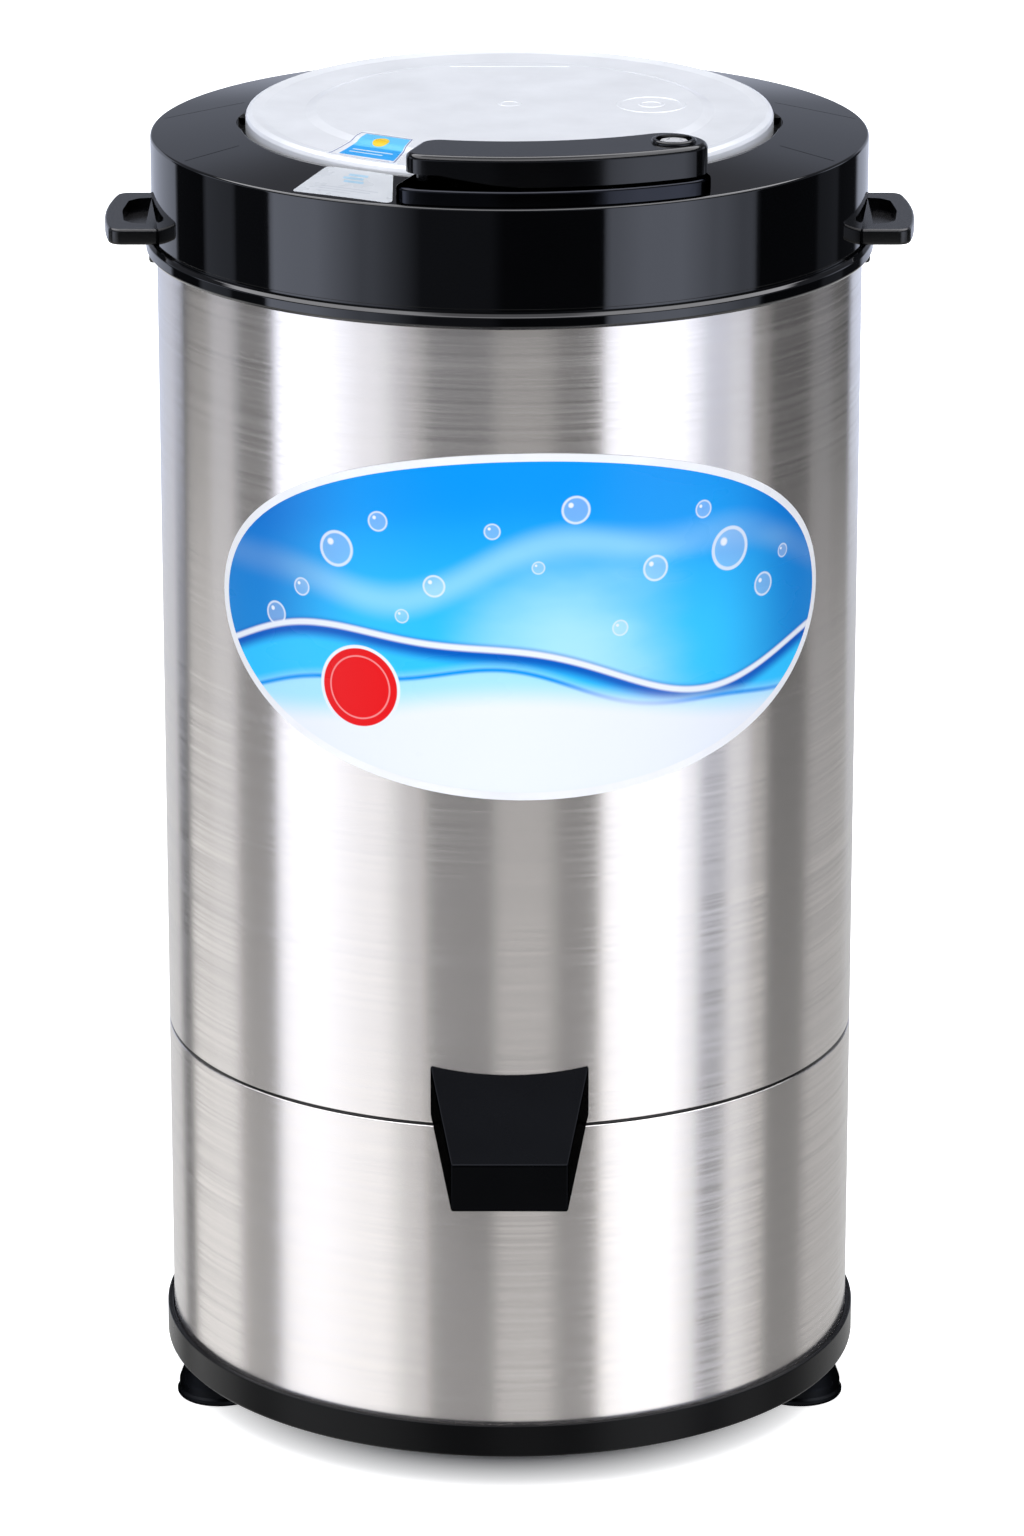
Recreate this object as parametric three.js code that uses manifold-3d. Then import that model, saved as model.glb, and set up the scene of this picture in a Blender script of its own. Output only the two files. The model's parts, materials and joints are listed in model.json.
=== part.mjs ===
// A top-loading laundry spin dryer: a steel casing on three rubber feet, a perforated drum
// on a motor that stands on rubber mounts, and a lid held by a latch that also works the brake.
// Millimetres, +Z up, front towards -Y. Angles named azimuth run from the front towards +X.
import * as THREE from "three";
import { mergeVertices } from "three/addons/utils/BufferGeometryUtils.js";
import Module from "manifold-3d";

const wasm = await Module();
wasm.setup();

// ---------------------------------------------------------------- driving dimensions
const GAP = 0.3; // between fixed pieces that touch
const RUNNING = 0.05; // radial clearance of a shaft in its bearing
const ROUND = 48; // facets round the casing
const MIDDLE = 32; // facets round the drum and the motor
const FINE = 20; // facets round a shaft
const COARSE = 8; // facets round a screw

// Casing
const CASING_R = 175;
const SHEET = 1.2;
const ROLL = 1.2; // the rolled edge at the seam
const SEAM_FLANGE = 1;
const SEAM_RING_HEIGHT = 17;
const SEAM_RING_WALL = 4;

// Base tray and feet
const FOOT_HEIGHT = 21.2;
const FOOT_R = 22;
const FOOT_NECK_R = 16.5;
const FOOT_AZIMUTHS = { left: -74, right: 74, rear: 180 };
const FOOT_INSET = 19; // of the feet's circle from the casing
const BASE_LIP = 3.3; // how far the tray's lip stands outside the casing
const BASE_RIM_HEIGHT = 17;
const BASE_FLOOR = 8;
const BASE_GROOVE_FLOOR = 9;
const BASE_RAISE = 4; // of the tray's middle over its feet
const BASE_SPIGOT = 4; // of the wall inside the casing over the rim
const BASE_HOLE_R = 40;
const BASE_INNER_WALL = 3;
const FOOT_SCREW_R = 2.2;
const FOOT_SCREW_HEAD_R = 4.6;
const FOOT_RECESS_R = 6;
const FOOT_RECESS = 8;

// Collar
const COLLAR_WALL = 3;
const COLLAR_STANDOUT = 2.5; // outside the casing
const COLLAR_EDGE_R = 1.4;
const COLLAR_WALL_HEIGHT = 48.5;
const COLLAR_RISE = 4.3;
const COLLAR_SKIRT = 5.2;
const CROWN_WIDTH = 44.5; // from the casing's outside to the opening, with the collar's stand-out
const LEDGE_WIDTH = 9;
const LEDGE_DEPTH = 6.1;
const FUNNEL_DEPTH = 22;
const TRIM_STANDOUT = 2.9; // outside the collar
const TRIM_HEIGHT = 7.6;
const TRIM_DROP = 6.6; // how far the trim ring hangs below the top of the steel
const TRIM_GROOVE = 1.6;
const NOTCH_HALF_ANGLE = 7;
const NOTCH_DEPTH = 4.5;
const NOTCH_CORNER = 3;

// Side handles
const HANDLE_STANDOUT = 23; // outside the collar
const HANDLE_HALF_WIDTH = 39.5;
const HANDLE_THICKNESS = 8;
const HANDLE_OVER_TRIM = 1.2;
const HANDLE_CORNER_R = 6;
const HANDLE_ARCH_HALF_WIDTH = 46;
const HANDLE_ARCH_HEIGHT = 21;
const HANDLE_FLANGE = 3.2;
const HANDLE_POCKET_DEPTH = 5.5;
const HANDLE_POCKET_RIM = 10;
const HANDLE_POCKET_END = 13;
const CLIP_AZIMUTH = 87;
const CLIP_R = 3.6;
const CLIP_REACH = 4;

// Lid
const LID_CLEARANCE = 2.6; // to the collar's opening
const LID_RIM_HEIGHT = 10.2; // half way from front to back
const LID_TILT = 1.65; // degrees that its top rises towards the hinge
const LID_SKIRT = 4;
const LID_WALL = 2.6;
const LID_STEP_INSET = 33.4; // of the raised middle from the lid's edge
const LID_STEP = 1.5;
const LID_RIM_DROP = 1; // of the plate inside the rim
const SEAL_INSET = 3.4; // of the seal's middle from the lid's edge
const SEAL_WIDTH = 4;
const SEAL_HEIGHT = 2;

// Lid hinge
const HINGE_OFFSET = 15.6; // of the pin behind the lid's edge
const HINGE_DROP = 8.6; // the pin's depth below the collar's crown
const HINGE_PIN_R = 2.1;
const HINGE_BARREL_R = 5;
const HINGE_ARM_HALF_WIDTH = 30;
const HINGE_CHEEK = 3.2;
const HINGE_POCKET_LENGTH = 29;
const HINGE_FLOOR = 2.5;

// Latch
const LATCH_INSET = 3.5; // outside the collar's opening
const LATCH_SETBACK = 2.1; // inside the collar's outer wall
const LATCH_LEFT_CORNER = 10;
const LATCH_RIGHT_CORNER = 17;
const LATCH_LEFT_AZIMUTH = -17;
const LATCH_RIGHT_AZIMUTH = 35.2;
const LATCH_THICKNESS = 14.4;
const LATCH_EDGE = 2;
const LATCH_GAP = 1.6; // over the pedestal
const LATCH_FINGER_GAP = 5.2;
const PIVOT_AZIMUTH = 29.2;
const PIVOT_INSET = 16; // of the pivot from the latch's outer edge
const PIVOT_R = 5;
const PIVOT_HEAD_R = 6.7;
const PIVOT_HEAD_HEIGHT = 3.2;
const PIVOT_RING_R = 10.6;
const PIVOT_RECESS_R = 8.6;
const PIVOT_RING_RISE = 1.5;
const PIVOT_RECESS_DEPTH = 4.4;
const PEDESTAL_LEFT_AZIMUTH = -18.6;
const PEDESTAL_RIGHT_AZIMUTH = 35.5;
const PEDESTAL_HEIGHT = 8.2; // above the collar's top edge
const PEDESTAL_SKIRT = 14; // below it, before the pedestal is trimmed to the crown
const PEDESTAL_LEFT_CORNER = 9;
const PEDESTAL_RIGHT_CORNER = 15;
const BUSH_WALL = 3;

// Interlock
const PLUNGER_AZIMUTH = -15.2;
const PLUNGER_R = 3;
const PLUNGER_CLEARANCE = 0.4;
const PLUNGER_GAP = 0.45; // under the latch, which covers it at rest
const SWITCH_BODY = [22, 16, 20];

// Water tub and drain
const TUB_CLEARANCE = 22; // round the drum
const TUB_UNDER_HUB = 5.2;
const TUB_WALL = 2.5;
const TUB_FLOOR_EDGE = 3; // the tub's lowest floor above the seam
const TUB_DOME = 24;
const TUB_DOME_R = 60;
const TUB_HOLE_CLEARANCE = 6; // round the bearing housing
const TUB_RIB = 2.5;
const TUB_OVERLAP = 10;
const NOZZLE_R = 8;
const NOZZLE_WALL = 1.6;
const NOZZLE_REACH = 6; // in front of the casing

// Drain hood
const HOOD_LENGTH = 42; // in front of the casing
const HOOD_WALL = 2.6;
const HOOD_BACK_HALF_WIDTH = 38.7;
const HOOD_FRONT_HALF_WIDTH = 28.4;
const HOOD_TOP_BACK = 27.5; // above the seam, at the casing
const HOOD_TOP_FRONT = -3.8;
const HOOD_FRONT_HEIGHT = 24.3;
const HOOD_SIDE_BACK = 5.4; // lower edge of the sides above the seam, at the casing
const HOOD_BACK = 12; // how far its form runs on behind the casing before it is trimmed
const HOOD_SCREW_X = 25;
const HOOD_SCREW_DROP = 15; // below the top of the hood at the casing
const HOOD_SCREW_R = 1.8;
const HOOD_BOSS_R = 4.6;
const HOOD_BOSS_LENGTH = 16;

// Drum
const DRUM_R = 122;
const DRUM_WALL = 1.4;
const DRUM_LIP = 10; // from the wall in to the mouth
const DRUM_HEIGHT = 388;
const DRUM_EDGE = 6; // the bevel between floor and wall
const DRUM_RING_HEIGHT = 10;
const DRUM_RING_BEHIND = 2.4; // from the ring to the drum's wall
const DRUM_HOLE_R = 3.2;
const DRUM_HOLE_ROWS = 4;
const DRUM_HOLES_IN_ROW = 9;
const DRUM_CLEARANCE = 10; // under the funnel
const DRUM_CONE_R = 44;
const DRUM_CONE_HEIGHT = 60;
const DRUM_CONE_WALL = 2.5;
const DRUM_CONE_TOP_R = 20;
const HUB_R = 28;
const HUB_HEIGHT = 6;
const HUB_NECK_R = 14;
const HUB_NECK = 6; // above the drum's floor
const HUB_CLEARANCE = 2; // over the bearing housing
const NUT_R = 15;
const NUT_HEIGHT = 10;

// Drive
const SHAFT_R = 8;
const SHAFT_OVER_FLOOR = 30; // above the drum's floor
const SHAFT_UNDER_BRAKE = 4;
const BEARING_R = 17.5;
const BEARING_HEIGHT = 11;
const MOTOR_R = 68;
const MOTOR_WALL = 4;
const MOTOR_HEIGHT = 88;
const ROTOR_R = 38.8;
const ROTOR_HEIGHT = 52;
const AIR_GAP = 0.8;
const STATOR_HEIGHT = 60;
const END_BELL = 10;
const HOUSING_R = 24;
const HOUSING_HEIGHT = 35.2;
const HOUSING_FLANGE = 8;
const BOOT_LIP = 6;
const MOUNT_CIRCLE_R = 118;
const MOUNT_AZIMUTHS = [90, 210, 330];
const MOUNT_HEIGHT = 30;
const MOUNT_R = 16;
const STUD_R = 3;
const TRIPOD_FOOT = 6;
const TRIPOD_RING_HEIGHT = 6;
const TRIPOD_RISE = 26; // of the ring over the feet
const TRIPOD_ARM_HALF_WIDTH = 8;

// Brake
const BRAKE_DRUM_R = 42;
const BRAKE_DRUM_HEIGHT = 16;
const BRAKE_DRUM_DROP = 8; // below the tripod's ring
const BRAKE_RIM = 5;
const BRAKE_PIVOT = [60, -36]; // towards the brake rod, and across it
const BRAKE_PIN_R = 3;
const BRAKE_LINING = 3.5;
const BRAKE_GAP = 1.5; // lining to drum with the lid latched
const BRAKE_ARM_THICKNESS = 5;
const BRAKE_ARM_HALF_WIDTH = 6;
const BRAKE_ROD_R = 3.2;
const ROD_DROP = 5.8; // of the rod's joint with the pivot below the collar's top edge
const CAM_R = 9;
const CAM_THROW = 4.2;
const CAM_GAP = 0.8; // to the end of the brake arm, which the cam holds off the drum

// Electrics
const CAPACITOR_R = 16;
const CAPACITOR_HEIGHT = 62;
const CAPACITOR_PLACE = [-84, 60];
const GLAND_HEIGHT = 62; // above the floor, at the back
const GLAND_R = 9;
const GLAND_BORE_R = 4.2;
const GLAND_REACH = 4;

// Front badge, an oval sticker
const BADGE_HALF_LENGTH = 170;
const BADGE_HALF_HEIGHT = 86.4;
const BADGE_AZIMUTH = 3.2;
const BADGE_HEIGHT = 255; // its centre above the seam
const BADGE_SHEET = 0.4;

// ---------------------------------------------------------------- radii that follow
const collarR = CASING_R + COLLAR_STANDOUT;
const trimR = collarR + TRIM_STANDOUT;
const openingR = collarR - CROWN_WIDTH;
const funnelR = openingR - LEDGE_WIDTH;
const lidR = openingR - LID_CLEARANCE;
const lidStepR = lidR - LID_STEP_INSET;
const sealR = lidR - SEAL_INSET;
const hingeBack = lidR + HINGE_OFFSET;
const handleReach = collarR + HANDLE_STANDOUT;
const latchInnerR = openingR + LATCH_INSET;
const latchOuterR = collarR - LATCH_SETBACK;
const pivotCircleR = latchOuterR - PIVOT_INSET;
const plungerCircleR = (latchInnerR + latchOuterR) / 2;
const footCircleR = CASING_R - FOOT_INSET;
const drumMouthR = DRUM_R - DRUM_LIP;
const tubR = DRUM_R + TUB_CLEARANCE;
const tubHoleR = HOUSING_R + TUB_HOLE_CLEARANCE;
const hoodReach = CASING_R + HOOD_LENGTH;

// ---------------------------------------------------------------- heights, from the floor up
// The drive stands on the base, the drum on the drive, and the shells follow the drum.
const zBase = FOOT_HEIGHT + GAP;
const zBaseFloor = zBase + BASE_FLOOR;
const zMount = zBaseFloor + GAP;
const zTripod = zMount + MOUNT_HEIGHT + GAP;
const zTripodRing = zTripod + TRIPOD_RISE;
const zMotor = zTripodRing + TRIPOD_RING_HEIGHT + GAP;
const zMotorTop = zMotor + MOTOR_HEIGHT;
const zHousing = zMotorTop + GAP + END_BELL + GAP;
const zHousingTop = zHousing + HOUSING_HEIGHT;
const zHub = zHousingTop + HUB_CLEARANCE;
const zDrum = zHub + HUB_HEIGHT + GAP;
const zDrumTop = zDrum + DRUM_HEIGHT;
const zTubFloor = zHub - TUB_UNDER_HUB - TUB_DOME;
const zSeam = zTubFloor - TUB_FLOOR_EDGE;
const zFlange = zSeam - SEAM_FLANGE / 2;
const zLowerCasing = zBase + BASE_GROOVE_FLOOR + GAP;
const zLowerTop = zFlange - GAP;
const zUpperCasing = zFlange + SEAM_FLANGE + GAP;
const zFunnel = zDrumTop + DRUM_CLEARANCE;
const zLedge = zFunnel + FUNNEL_DEPTH;
const zCrown = zLedge + LEDGE_DEPTH;
const zCollarEdge = zCrown - COLLAR_RISE;
const zCollarWall = zCollarEdge - COLLAR_WALL_HEIGHT;
const zTrim = zCollarWall - TRIM_GROOVE - TRIM_HEIGHT;
const zUpperTop = zTrim + TRIM_DROP;
const zShoulder = zUpperTop + GAP;
const zSealTop = zLedge + GAP + SEAL_HEIGHT;
const zLid = zSealTop + GAP;
const zLidRim = zLid + LID_RIM_HEIGHT;
const zPedestal = zCollarEdge + PEDESTAL_HEIGHT;
const zLatch = zPedestal + LATCH_GAP;
const zLatchTop = zLatch + LATCH_THICKNESS;
const zPivotHead = zLatchTop + PIVOT_RING_RISE - PIVOT_RECESS_DEPTH + GAP;
const zRodTop = zCollarEdge - ROD_DROP;
const zHinge = zCrown - HINGE_DROP;
const zHandle = zTrim + TRIM_HEIGHT + HANDLE_OVER_TRIM;
const zTubTop = zFunnel + TUB_OVERLAP;
const zNozzle = zTubFloor + NOZZLE_R + GAP;
const zHoodScrew = zSeam + HOOD_TOP_BACK - HOOD_SCREW_DROP;
const zBrakeDrum = zTripodRing - BRAKE_DRUM_DROP - BRAKE_DRUM_HEIGHT;
const zBrakeArm = zBrakeDrum + BRAKE_DRUM_HEIGHT / 2 - BRAKE_ARM_THICKNESS / 2;

// The outline's box is centred on the origin, so the drum's axis lies a little behind it.
const CENTRING = (hoodReach - trimR) / 2;

// ---------------------------------------------------------------- helpers
const radians = THREE.MathUtils.degToRad;

// The corner radius of a faceted bore whose flats clear a turning shaft.
function bored(r) {
  return (r + RUNNING) / Math.cos(Math.PI / FINE);
}

// A point on a circle round the drum's axis, at an azimuth in degrees.
function polar(r, azimuth) {
  const a = radians(azimuth);
  return [r * Math.sin(a), -r * Math.cos(a)];
}

// A closed three.js geometry as a solid that can be cut and joined.
function solid(geometry) {
  geometry.deleteAttribute("normal");
  geometry.deleteAttribute("uv");
  const merged = mergeVertices(geometry, 1e-4);
  const corners = [];
  for (let i = 0; i < merged.index.count; i += 3) {
    const [a, b, c] = [0, 1, 2].map((k) => merged.index.getX(i + k));
    if (a !== b && b !== c && a !== c) corners.push(a, b, c);
  }
  const vertProperties = merged.attributes.position.array;
  const triVerts = new Uint32Array(corners);
  return new wasm.Manifold(new wasm.Mesh({ numProp: 3, vertProperties, triVerts }));
}

// A solid as a named mesh.
function mesh(name, shape, material) {
  const made = shape.getMesh();
  const geometry = new THREE.BufferGeometry();
  geometry.setAttribute("position", new THREE.BufferAttribute(made.vertProperties, 3));
  geometry.setIndex(new THREE.BufferAttribute(made.triVerts, 1));
  geometry.computeVertexNormals();
  const result = new THREE.Mesh(geometry, material.clone());
  result.name = name;
  return result;
}

// Turns a profile of [radius, height] points round the Z axis. It is closed, or ends on the axis.
function turned(profile, facets = ROUND) {
  const onAxis = profile[0][0] === 0 && profile.at(-1)[0] === 0;
  const points = profile.map(([r, z]) => new THREE.Vector2(r, z));
  if (THREE.ShapeUtils.area(points) < 0) points.reverse();
  if (!onAxis) points.push(points[0].clone());
  return solid(new THREE.LatheGeometry(points, facets).rotateX(Math.PI / 2));
}

function ring(inner, outer, z0, z1, facets = ROUND) {
  return turned([[inner, z0], [outer, z0], [outer, z1], [inner, z1]], facets);
}

function disc(r, z0, z1, facets = FINE) {
  return turned([[0, z0], [r, z0], [r, z1], [0, z1]], facets);
}

function box(x0, x1, y0, y1, z0, z1) {
  const geometry = new THREE.BoxGeometry(x1 - x0, y1 - y0, z1 - z0);
  return solid(geometry.translate((x0 + x1) / 2, (y0 + y1) / 2, (z0 + z1) / 2));
}

// Extrudes an outline of [x, y] points upwards, with bevelled top and bottom edges if asked.
function slab(outline, z0, z1, bevel = 0) {
  const shape = new THREE.Shape(outline.map(([x, y]) => new THREE.Vector2(x, y)));
  const geometry = new THREE.ExtrudeGeometry(shape, {
    depth: z1 - z0 - 2 * bevel,
    bevelEnabled: bevel > 0,
    bevelThickness: bevel,
    bevelSize: bevel,
    bevelOffset: -bevel,
    bevelSegments: 2,
  });
  return solid(geometry.translate(0, 0, z0 + bevel));
}

// Extrudes an outline of [y, z] points along X.
function alongX(outline, x0, x1) {
  return slab(outline, x0, x1).rotate([90, 0, 90]);
}

// Extrudes an outline of [x, z] points along Y.
function alongY(outline, y0, y1) {
  return slab(outline, -y1, -y0).rotate([90, 0, 0]);
}

// A round bar along X or Y, from one coordinate to the other.
function barX(r, x0, x1, y, z, facets = FINE) {
  return disc(r, x0, x1, facets).rotate([0, 90, 0]).translate([0, y, z]);
}

function barY(r, y0, y1, x, z, facets = FINE) {
  return disc(r, -y1, -y0, facets).rotate([90, 0, 0]).translate([x, 0, z]);
}

function arc(x, y, r, from, to, steps) {
  return Array.from({ length: steps + 1 }, (_, i) => {
    const a = from + ((to - from) * i) / steps;
    return [x + r * Math.cos(a), y + r * Math.sin(a)];
  });
}

// One rounded corner of a sector: an arc whose centre is at a radius and an angle.
function sectorCorner(radius, angle, corner, from, to) {
  return arc(radius * Math.cos(angle), radius * Math.sin(angle), corner, from, to, 4);
}

// The outline of a bar that follows the casing between two radii and two azimuths.
function sector(inner, outer, azimuths, corners, steps) {
  const quarter = Math.PI / 2;
  const [a0, a1] = azimuths.map((azimuth) => radians(azimuth) - quarter);
  const [c0, c1] = corners;
  const turnOut = (c) => Math.asin(c / (outer - c));
  const turnIn = (c) => Math.asin(c / (inner + c));
  return [
    ...arc(0, 0, outer, a0 + turnOut(c0), a1 - turnOut(c1), steps).slice(1, -1),
    ...sectorCorner(outer - c1, a1 - turnOut(c1), c1, a1 - turnOut(c1), a1 + quarter),
    ...sectorCorner(inner + c1, a1 - turnIn(c1), c1, a1 + quarter, a1 - turnIn(c1) + Math.PI),
    ...arc(0, 0, inner, a1 - turnIn(c1), a0 + turnIn(c0), steps).slice(1, -1),
    ...sectorCorner(inner + c0, a0 + turnIn(c0), c0, a0 + turnIn(c0) + Math.PI, a0 + 3 * quarter),
    ...sectorCorner(outer - c0, a0 + turnOut(c0), c0, a0 - quarter, a0 + turnOut(c0)),
  ];
}

// ---------------------------------------------------------------- materials
function finish(color, roughness, metalness = 0) {
  return new THREE.MeshStandardMaterial({ color, roughness, metalness });
}

const steel = finish(0xb9b7b4, 0.3, 1);
const galvanised = finish(0x9a9c9e, 0.45, 1);
const chrome = finish(0xdadada, 0.12, 1);
const castAluminium = finish(0xa4a6a8, 0.5, 1);
const castIron = finish(0x4a4a4c, 0.7, 0.8);
const bronze = finish(0xa8803c, 0.4, 1);
const glossBlack = finish(0x0b0b0d, 0.16);
const satinBlack = finish(0x121214, 0.38);
const rubber = finish(0x161617, 0.75);
const whitePlastic = finish(0xf2f4f8, 0.3);
const greyPlastic = finish(0x8e9296, 0.5);
const copper = finish(0x9c5a36, 0.4, 0.9);
const vinyl = finish(0x2f9be0, 0.35);

// ---------------------------------------------------------------- base and casing
function footShape() {
  const bore = FOOT_SCREW_R + GAP;
  return turned([
    [FOOT_RECESS_R, 0],
    [FOOT_R - 1.6, 0],
    [FOOT_R, 1.6],
    [FOOT_R, 3.6],
    [FOOT_R - 1, 4.6],
    [FOOT_R - 1.6, 0.45 * FOOT_HEIGHT],
    [FOOT_NECK_R + 1.6, 0.8 * FOOT_HEIGHT],
    [FOOT_NECK_R, FOOT_HEIGHT],
    [bore, FOOT_HEIGHT],
    [bore, FOOT_RECESS],
    [FOOT_RECESS_R, FOOT_RECESS],
  ], FINE);
}

function footScrewShape() {
  const head = disc(FOOT_SCREW_HEAD_R, FOOT_RECESS - 3.4, FOOT_RECESS - GAP, COARSE);
  return head.add(disc(FOOT_SCREW_R, FOOT_RECESS - 1, zBaseFloor - GAP, COARSE));
}

function baseTray() {
  const outer = CASING_R + BASE_LIP;
  const lip = CASING_R + GAP;
  const groove = CASING_R - SHEET - GAP;
  const top = zBase + BASE_RIM_HEIGHT;
  let tray = turned([
    [BASE_HOLE_R, zBase + BASE_RAISE],
    [footCircleR - FOOT_R - BASE_RAISE, zBase + BASE_RAISE],
    [footCircleR - FOOT_R, zBase],
    [outer - 1.5, zBase],
    [outer, zBase + 1.5],
    [outer, top - 1.2],
    [outer - 1.2, top],
    [lip, top],
    [lip, zBase + BASE_GROOVE_FLOOR],
    [groove, zBase + BASE_GROOVE_FLOOR],
    [groove, top + BASE_SPIGOT],
    [groove - BASE_INNER_WALL, top + BASE_SPIGOT],
    [groove - BASE_INNER_WALL, zBaseFloor],
    [BASE_HOLE_R, zBaseFloor],
  ]);
  for (const azimuth of Object.values(FOOT_AZIMUTHS)) {
    const hole = disc(FOOT_SCREW_R + GAP, zBase - 1, zBaseFloor + 1, COARSE);
    tray = tray.subtract(hole.translate([...polar(footCircleR, azimuth), 0]));
  }
  const socket = ring(bored(BRAKE_ROD_R), BRAKE_ROD_R + 4, zBaseFloor - 1, zBaseFloor + 12, FINE);
  return tray.add(socket.translate([...polar(pivotCircleR, PIVOT_AZIMUTH), 0]));
}

// The sheet's edge at the seam is rolled in a little.
function lowerCasing() {
  const inner = CASING_R - SHEET;
  const sheet = turned([
    [inner, zLowerCasing],
    [CASING_R, zLowerCasing],
    [CASING_R, zLowerTop - ROLL],
    [CASING_R - ROLL / 2, zLowerTop],
    [inner, zLowerTop],
  ]);
  return sheet.subtract(barY(GLAND_R - 1.5, inner - 10, CASING_R + 10, 0, GLAND_HEIGHT));
}

function upperCasing() {
  const inner = CASING_R - SHEET;
  const sheet = turned([
    [inner, zUpperCasing],
    [CASING_R - ROLL / 2, zUpperCasing],
    [CASING_R, zUpperCasing + ROLL],
    [CASING_R, zUpperTop],
    [inner, zUpperTop],
  ]);
  const nozzleHole = barY(NOZZLE_R + GAP, -CASING_R - 10, -inner + 10, 0, zNozzle);
  const screwR = HOOD_SCREW_R + GAP + 0.1;
  const screwHole = (x) => barY(screwR, -CASING_R - 10, -inner + 10, x, zHoodScrew, COARSE);
  return sheet.subtract(nozzleHole).subtract(screwHole(HOOD_SCREW_X))
    .subtract(screwHole(-HOOD_SCREW_X));
}

function seamRing() {
  const outer = CASING_R - SHEET - GAP;
  return turned([
    [outer - SEAM_RING_WALL, zFlange - SEAM_RING_HEIGHT],
    [outer, zFlange - SEAM_RING_HEIGHT],
    [outer, zFlange],
    [CASING_R - 0.4, zFlange],
    [CASING_R - 0.4, zFlange + SEAM_FLANGE],
    [outer - SEAM_RING_WALL, zFlange + SEAM_FLANGE],
  ]);
}

function cordGland() {
  const inner = CASING_R - SHEET;
  const profile = [
    [GLAND_BORE_R, inner - 4],
    [GLAND_R, inner - 4],
    [GLAND_R, inner - GAP - 0.3],
    [GLAND_R - 1.5 - GAP, inner - GAP - 0.3],
    [GLAND_R - 1.5 - GAP, CASING_R + GAP],
    [GLAND_R, CASING_R + GAP],
    [GLAND_R - 1, CASING_R + GLAND_REACH],
    [GLAND_BORE_R, CASING_R + GLAND_REACH],
  ];
  return turned(profile, FINE).rotate([-90, 0, 0]).translate([0, 0, GLAND_HEIGHT]);
}

// ---------------------------------------------------------------- collar, trim and handles
function crownZ(r) {
  const flatEdge = collarR - COLLAR_EDGE_R;
  return zCollarEdge + (COLLAR_RISE * (flatEdge - r)) / (flatEdge - openingR);
}

function collar() {
  const skirtIn = CASING_R + GAP;
  const skirtOut = collarR - 0.6;
  const inner = collarR - COLLAR_WALL;
  const edge = arc(collarR - COLLAR_EDGE_R, zCollarEdge - COLLAR_EDGE_R, COLLAR_EDGE_R, 0,
    Math.PI / 2, 3);
  const rib = (tubR + GAP) / Math.cos(Math.PI / ROUND);
  const under = (r) => [r, crownZ(r) - COLLAR_WALL];
  let shape = turned([
    [skirtIn, zUpperTop - COLLAR_SKIRT],
    [skirtOut, zUpperTop - COLLAR_SKIRT],
    [skirtOut, zCollarWall],
    [collarR, zCollarWall],
    ...edge,
    [openingR + 1, crownZ(openingR + 1)],
    [openingR, zCrown - 0.8],
    [openingR, zLedge],
    [funnelR, zLedge],
    [funnelR, zFunnel],
    [funnelR + TUB_RIB, zFunnel],
    [funnelR + TUB_RIB, zLedge - TUB_RIB],
    [openingR + TUB_RIB, zLedge - TUB_RIB],
    under(openingR + TUB_RIB),
    under(rib),
    [rib, zFunnel],
    [rib + TUB_RIB, zFunnel],
    under(rib + TUB_RIB),
    under(inner - 2),
    [inner, zCollarEdge - COLLAR_EDGE_R - COLLAR_WALL],
    [inner, zShoulder],
    [skirtIn, zShoulder],
  ]);
  const arch = ellipse(HANDLE_ARCH_HALF_WIDTH, HANDLE_ARCH_HEIGHT, 12);
  const archCut = alongX(arch.map(([y, z]) => [y, zHandle - 0.6 + z]), inner - 8, collarR + 9);
  shape = shape.subtract(archCut).subtract(archCut.rotate([0, 0, 180]));
  const fingerNotch = slab(
    sector(openingR - NOTCH_CORNER - 1, openingR + NOTCH_DEPTH,
      [90 - NOTCH_HALF_ANGLE, 90 + NOTCH_HALF_ANGLE], [NOTCH_CORNER, NOTCH_CORNER], 3),
    zLedge, zCrown + LEDGE_DEPTH);
  shape = shape.subtract(fingerNotch).subtract(fingerNotch.rotate([0, 0, 180]));
  shape = shape.subtract(hingePocket(0));
  const pinHole = disc(PIVOT_R + 0.5, zFunnel, zPedestal);
  const plungerHole = disc(PLUNGER_R + PLUNGER_CLEARANCE, zFunnel, zPedestal, COARSE);
  shape = shape.subtract(pinHole.translate([...polar(pivotCircleR, PIVOT_AZIMUTH), 0]));
  return shape.subtract(plungerHole.translate([...polar(plungerCircleR, PLUNGER_AZIMUTH), 0]));
}

// The upper half of an ellipse, closed by its chord.
function ellipse(halfWidth, height, steps) {
  return arc(0, 0, 1, 0, Math.PI, steps).map(([x, y]) => [x * halfWidth, y * height]);
}

function trimRing() {
  const inner = collarR - 0.6 + GAP;
  const top = zTrim + TRIM_HEIGHT;
  return turned([
    [inner, zTrim],
    [trimR - 1.6, zTrim],
    [trimR, zTrim + 1.8],
    [trimR, top - 1.8],
    [trimR - 1.6, top],
    [inner, top],
  ]);
}

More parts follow.
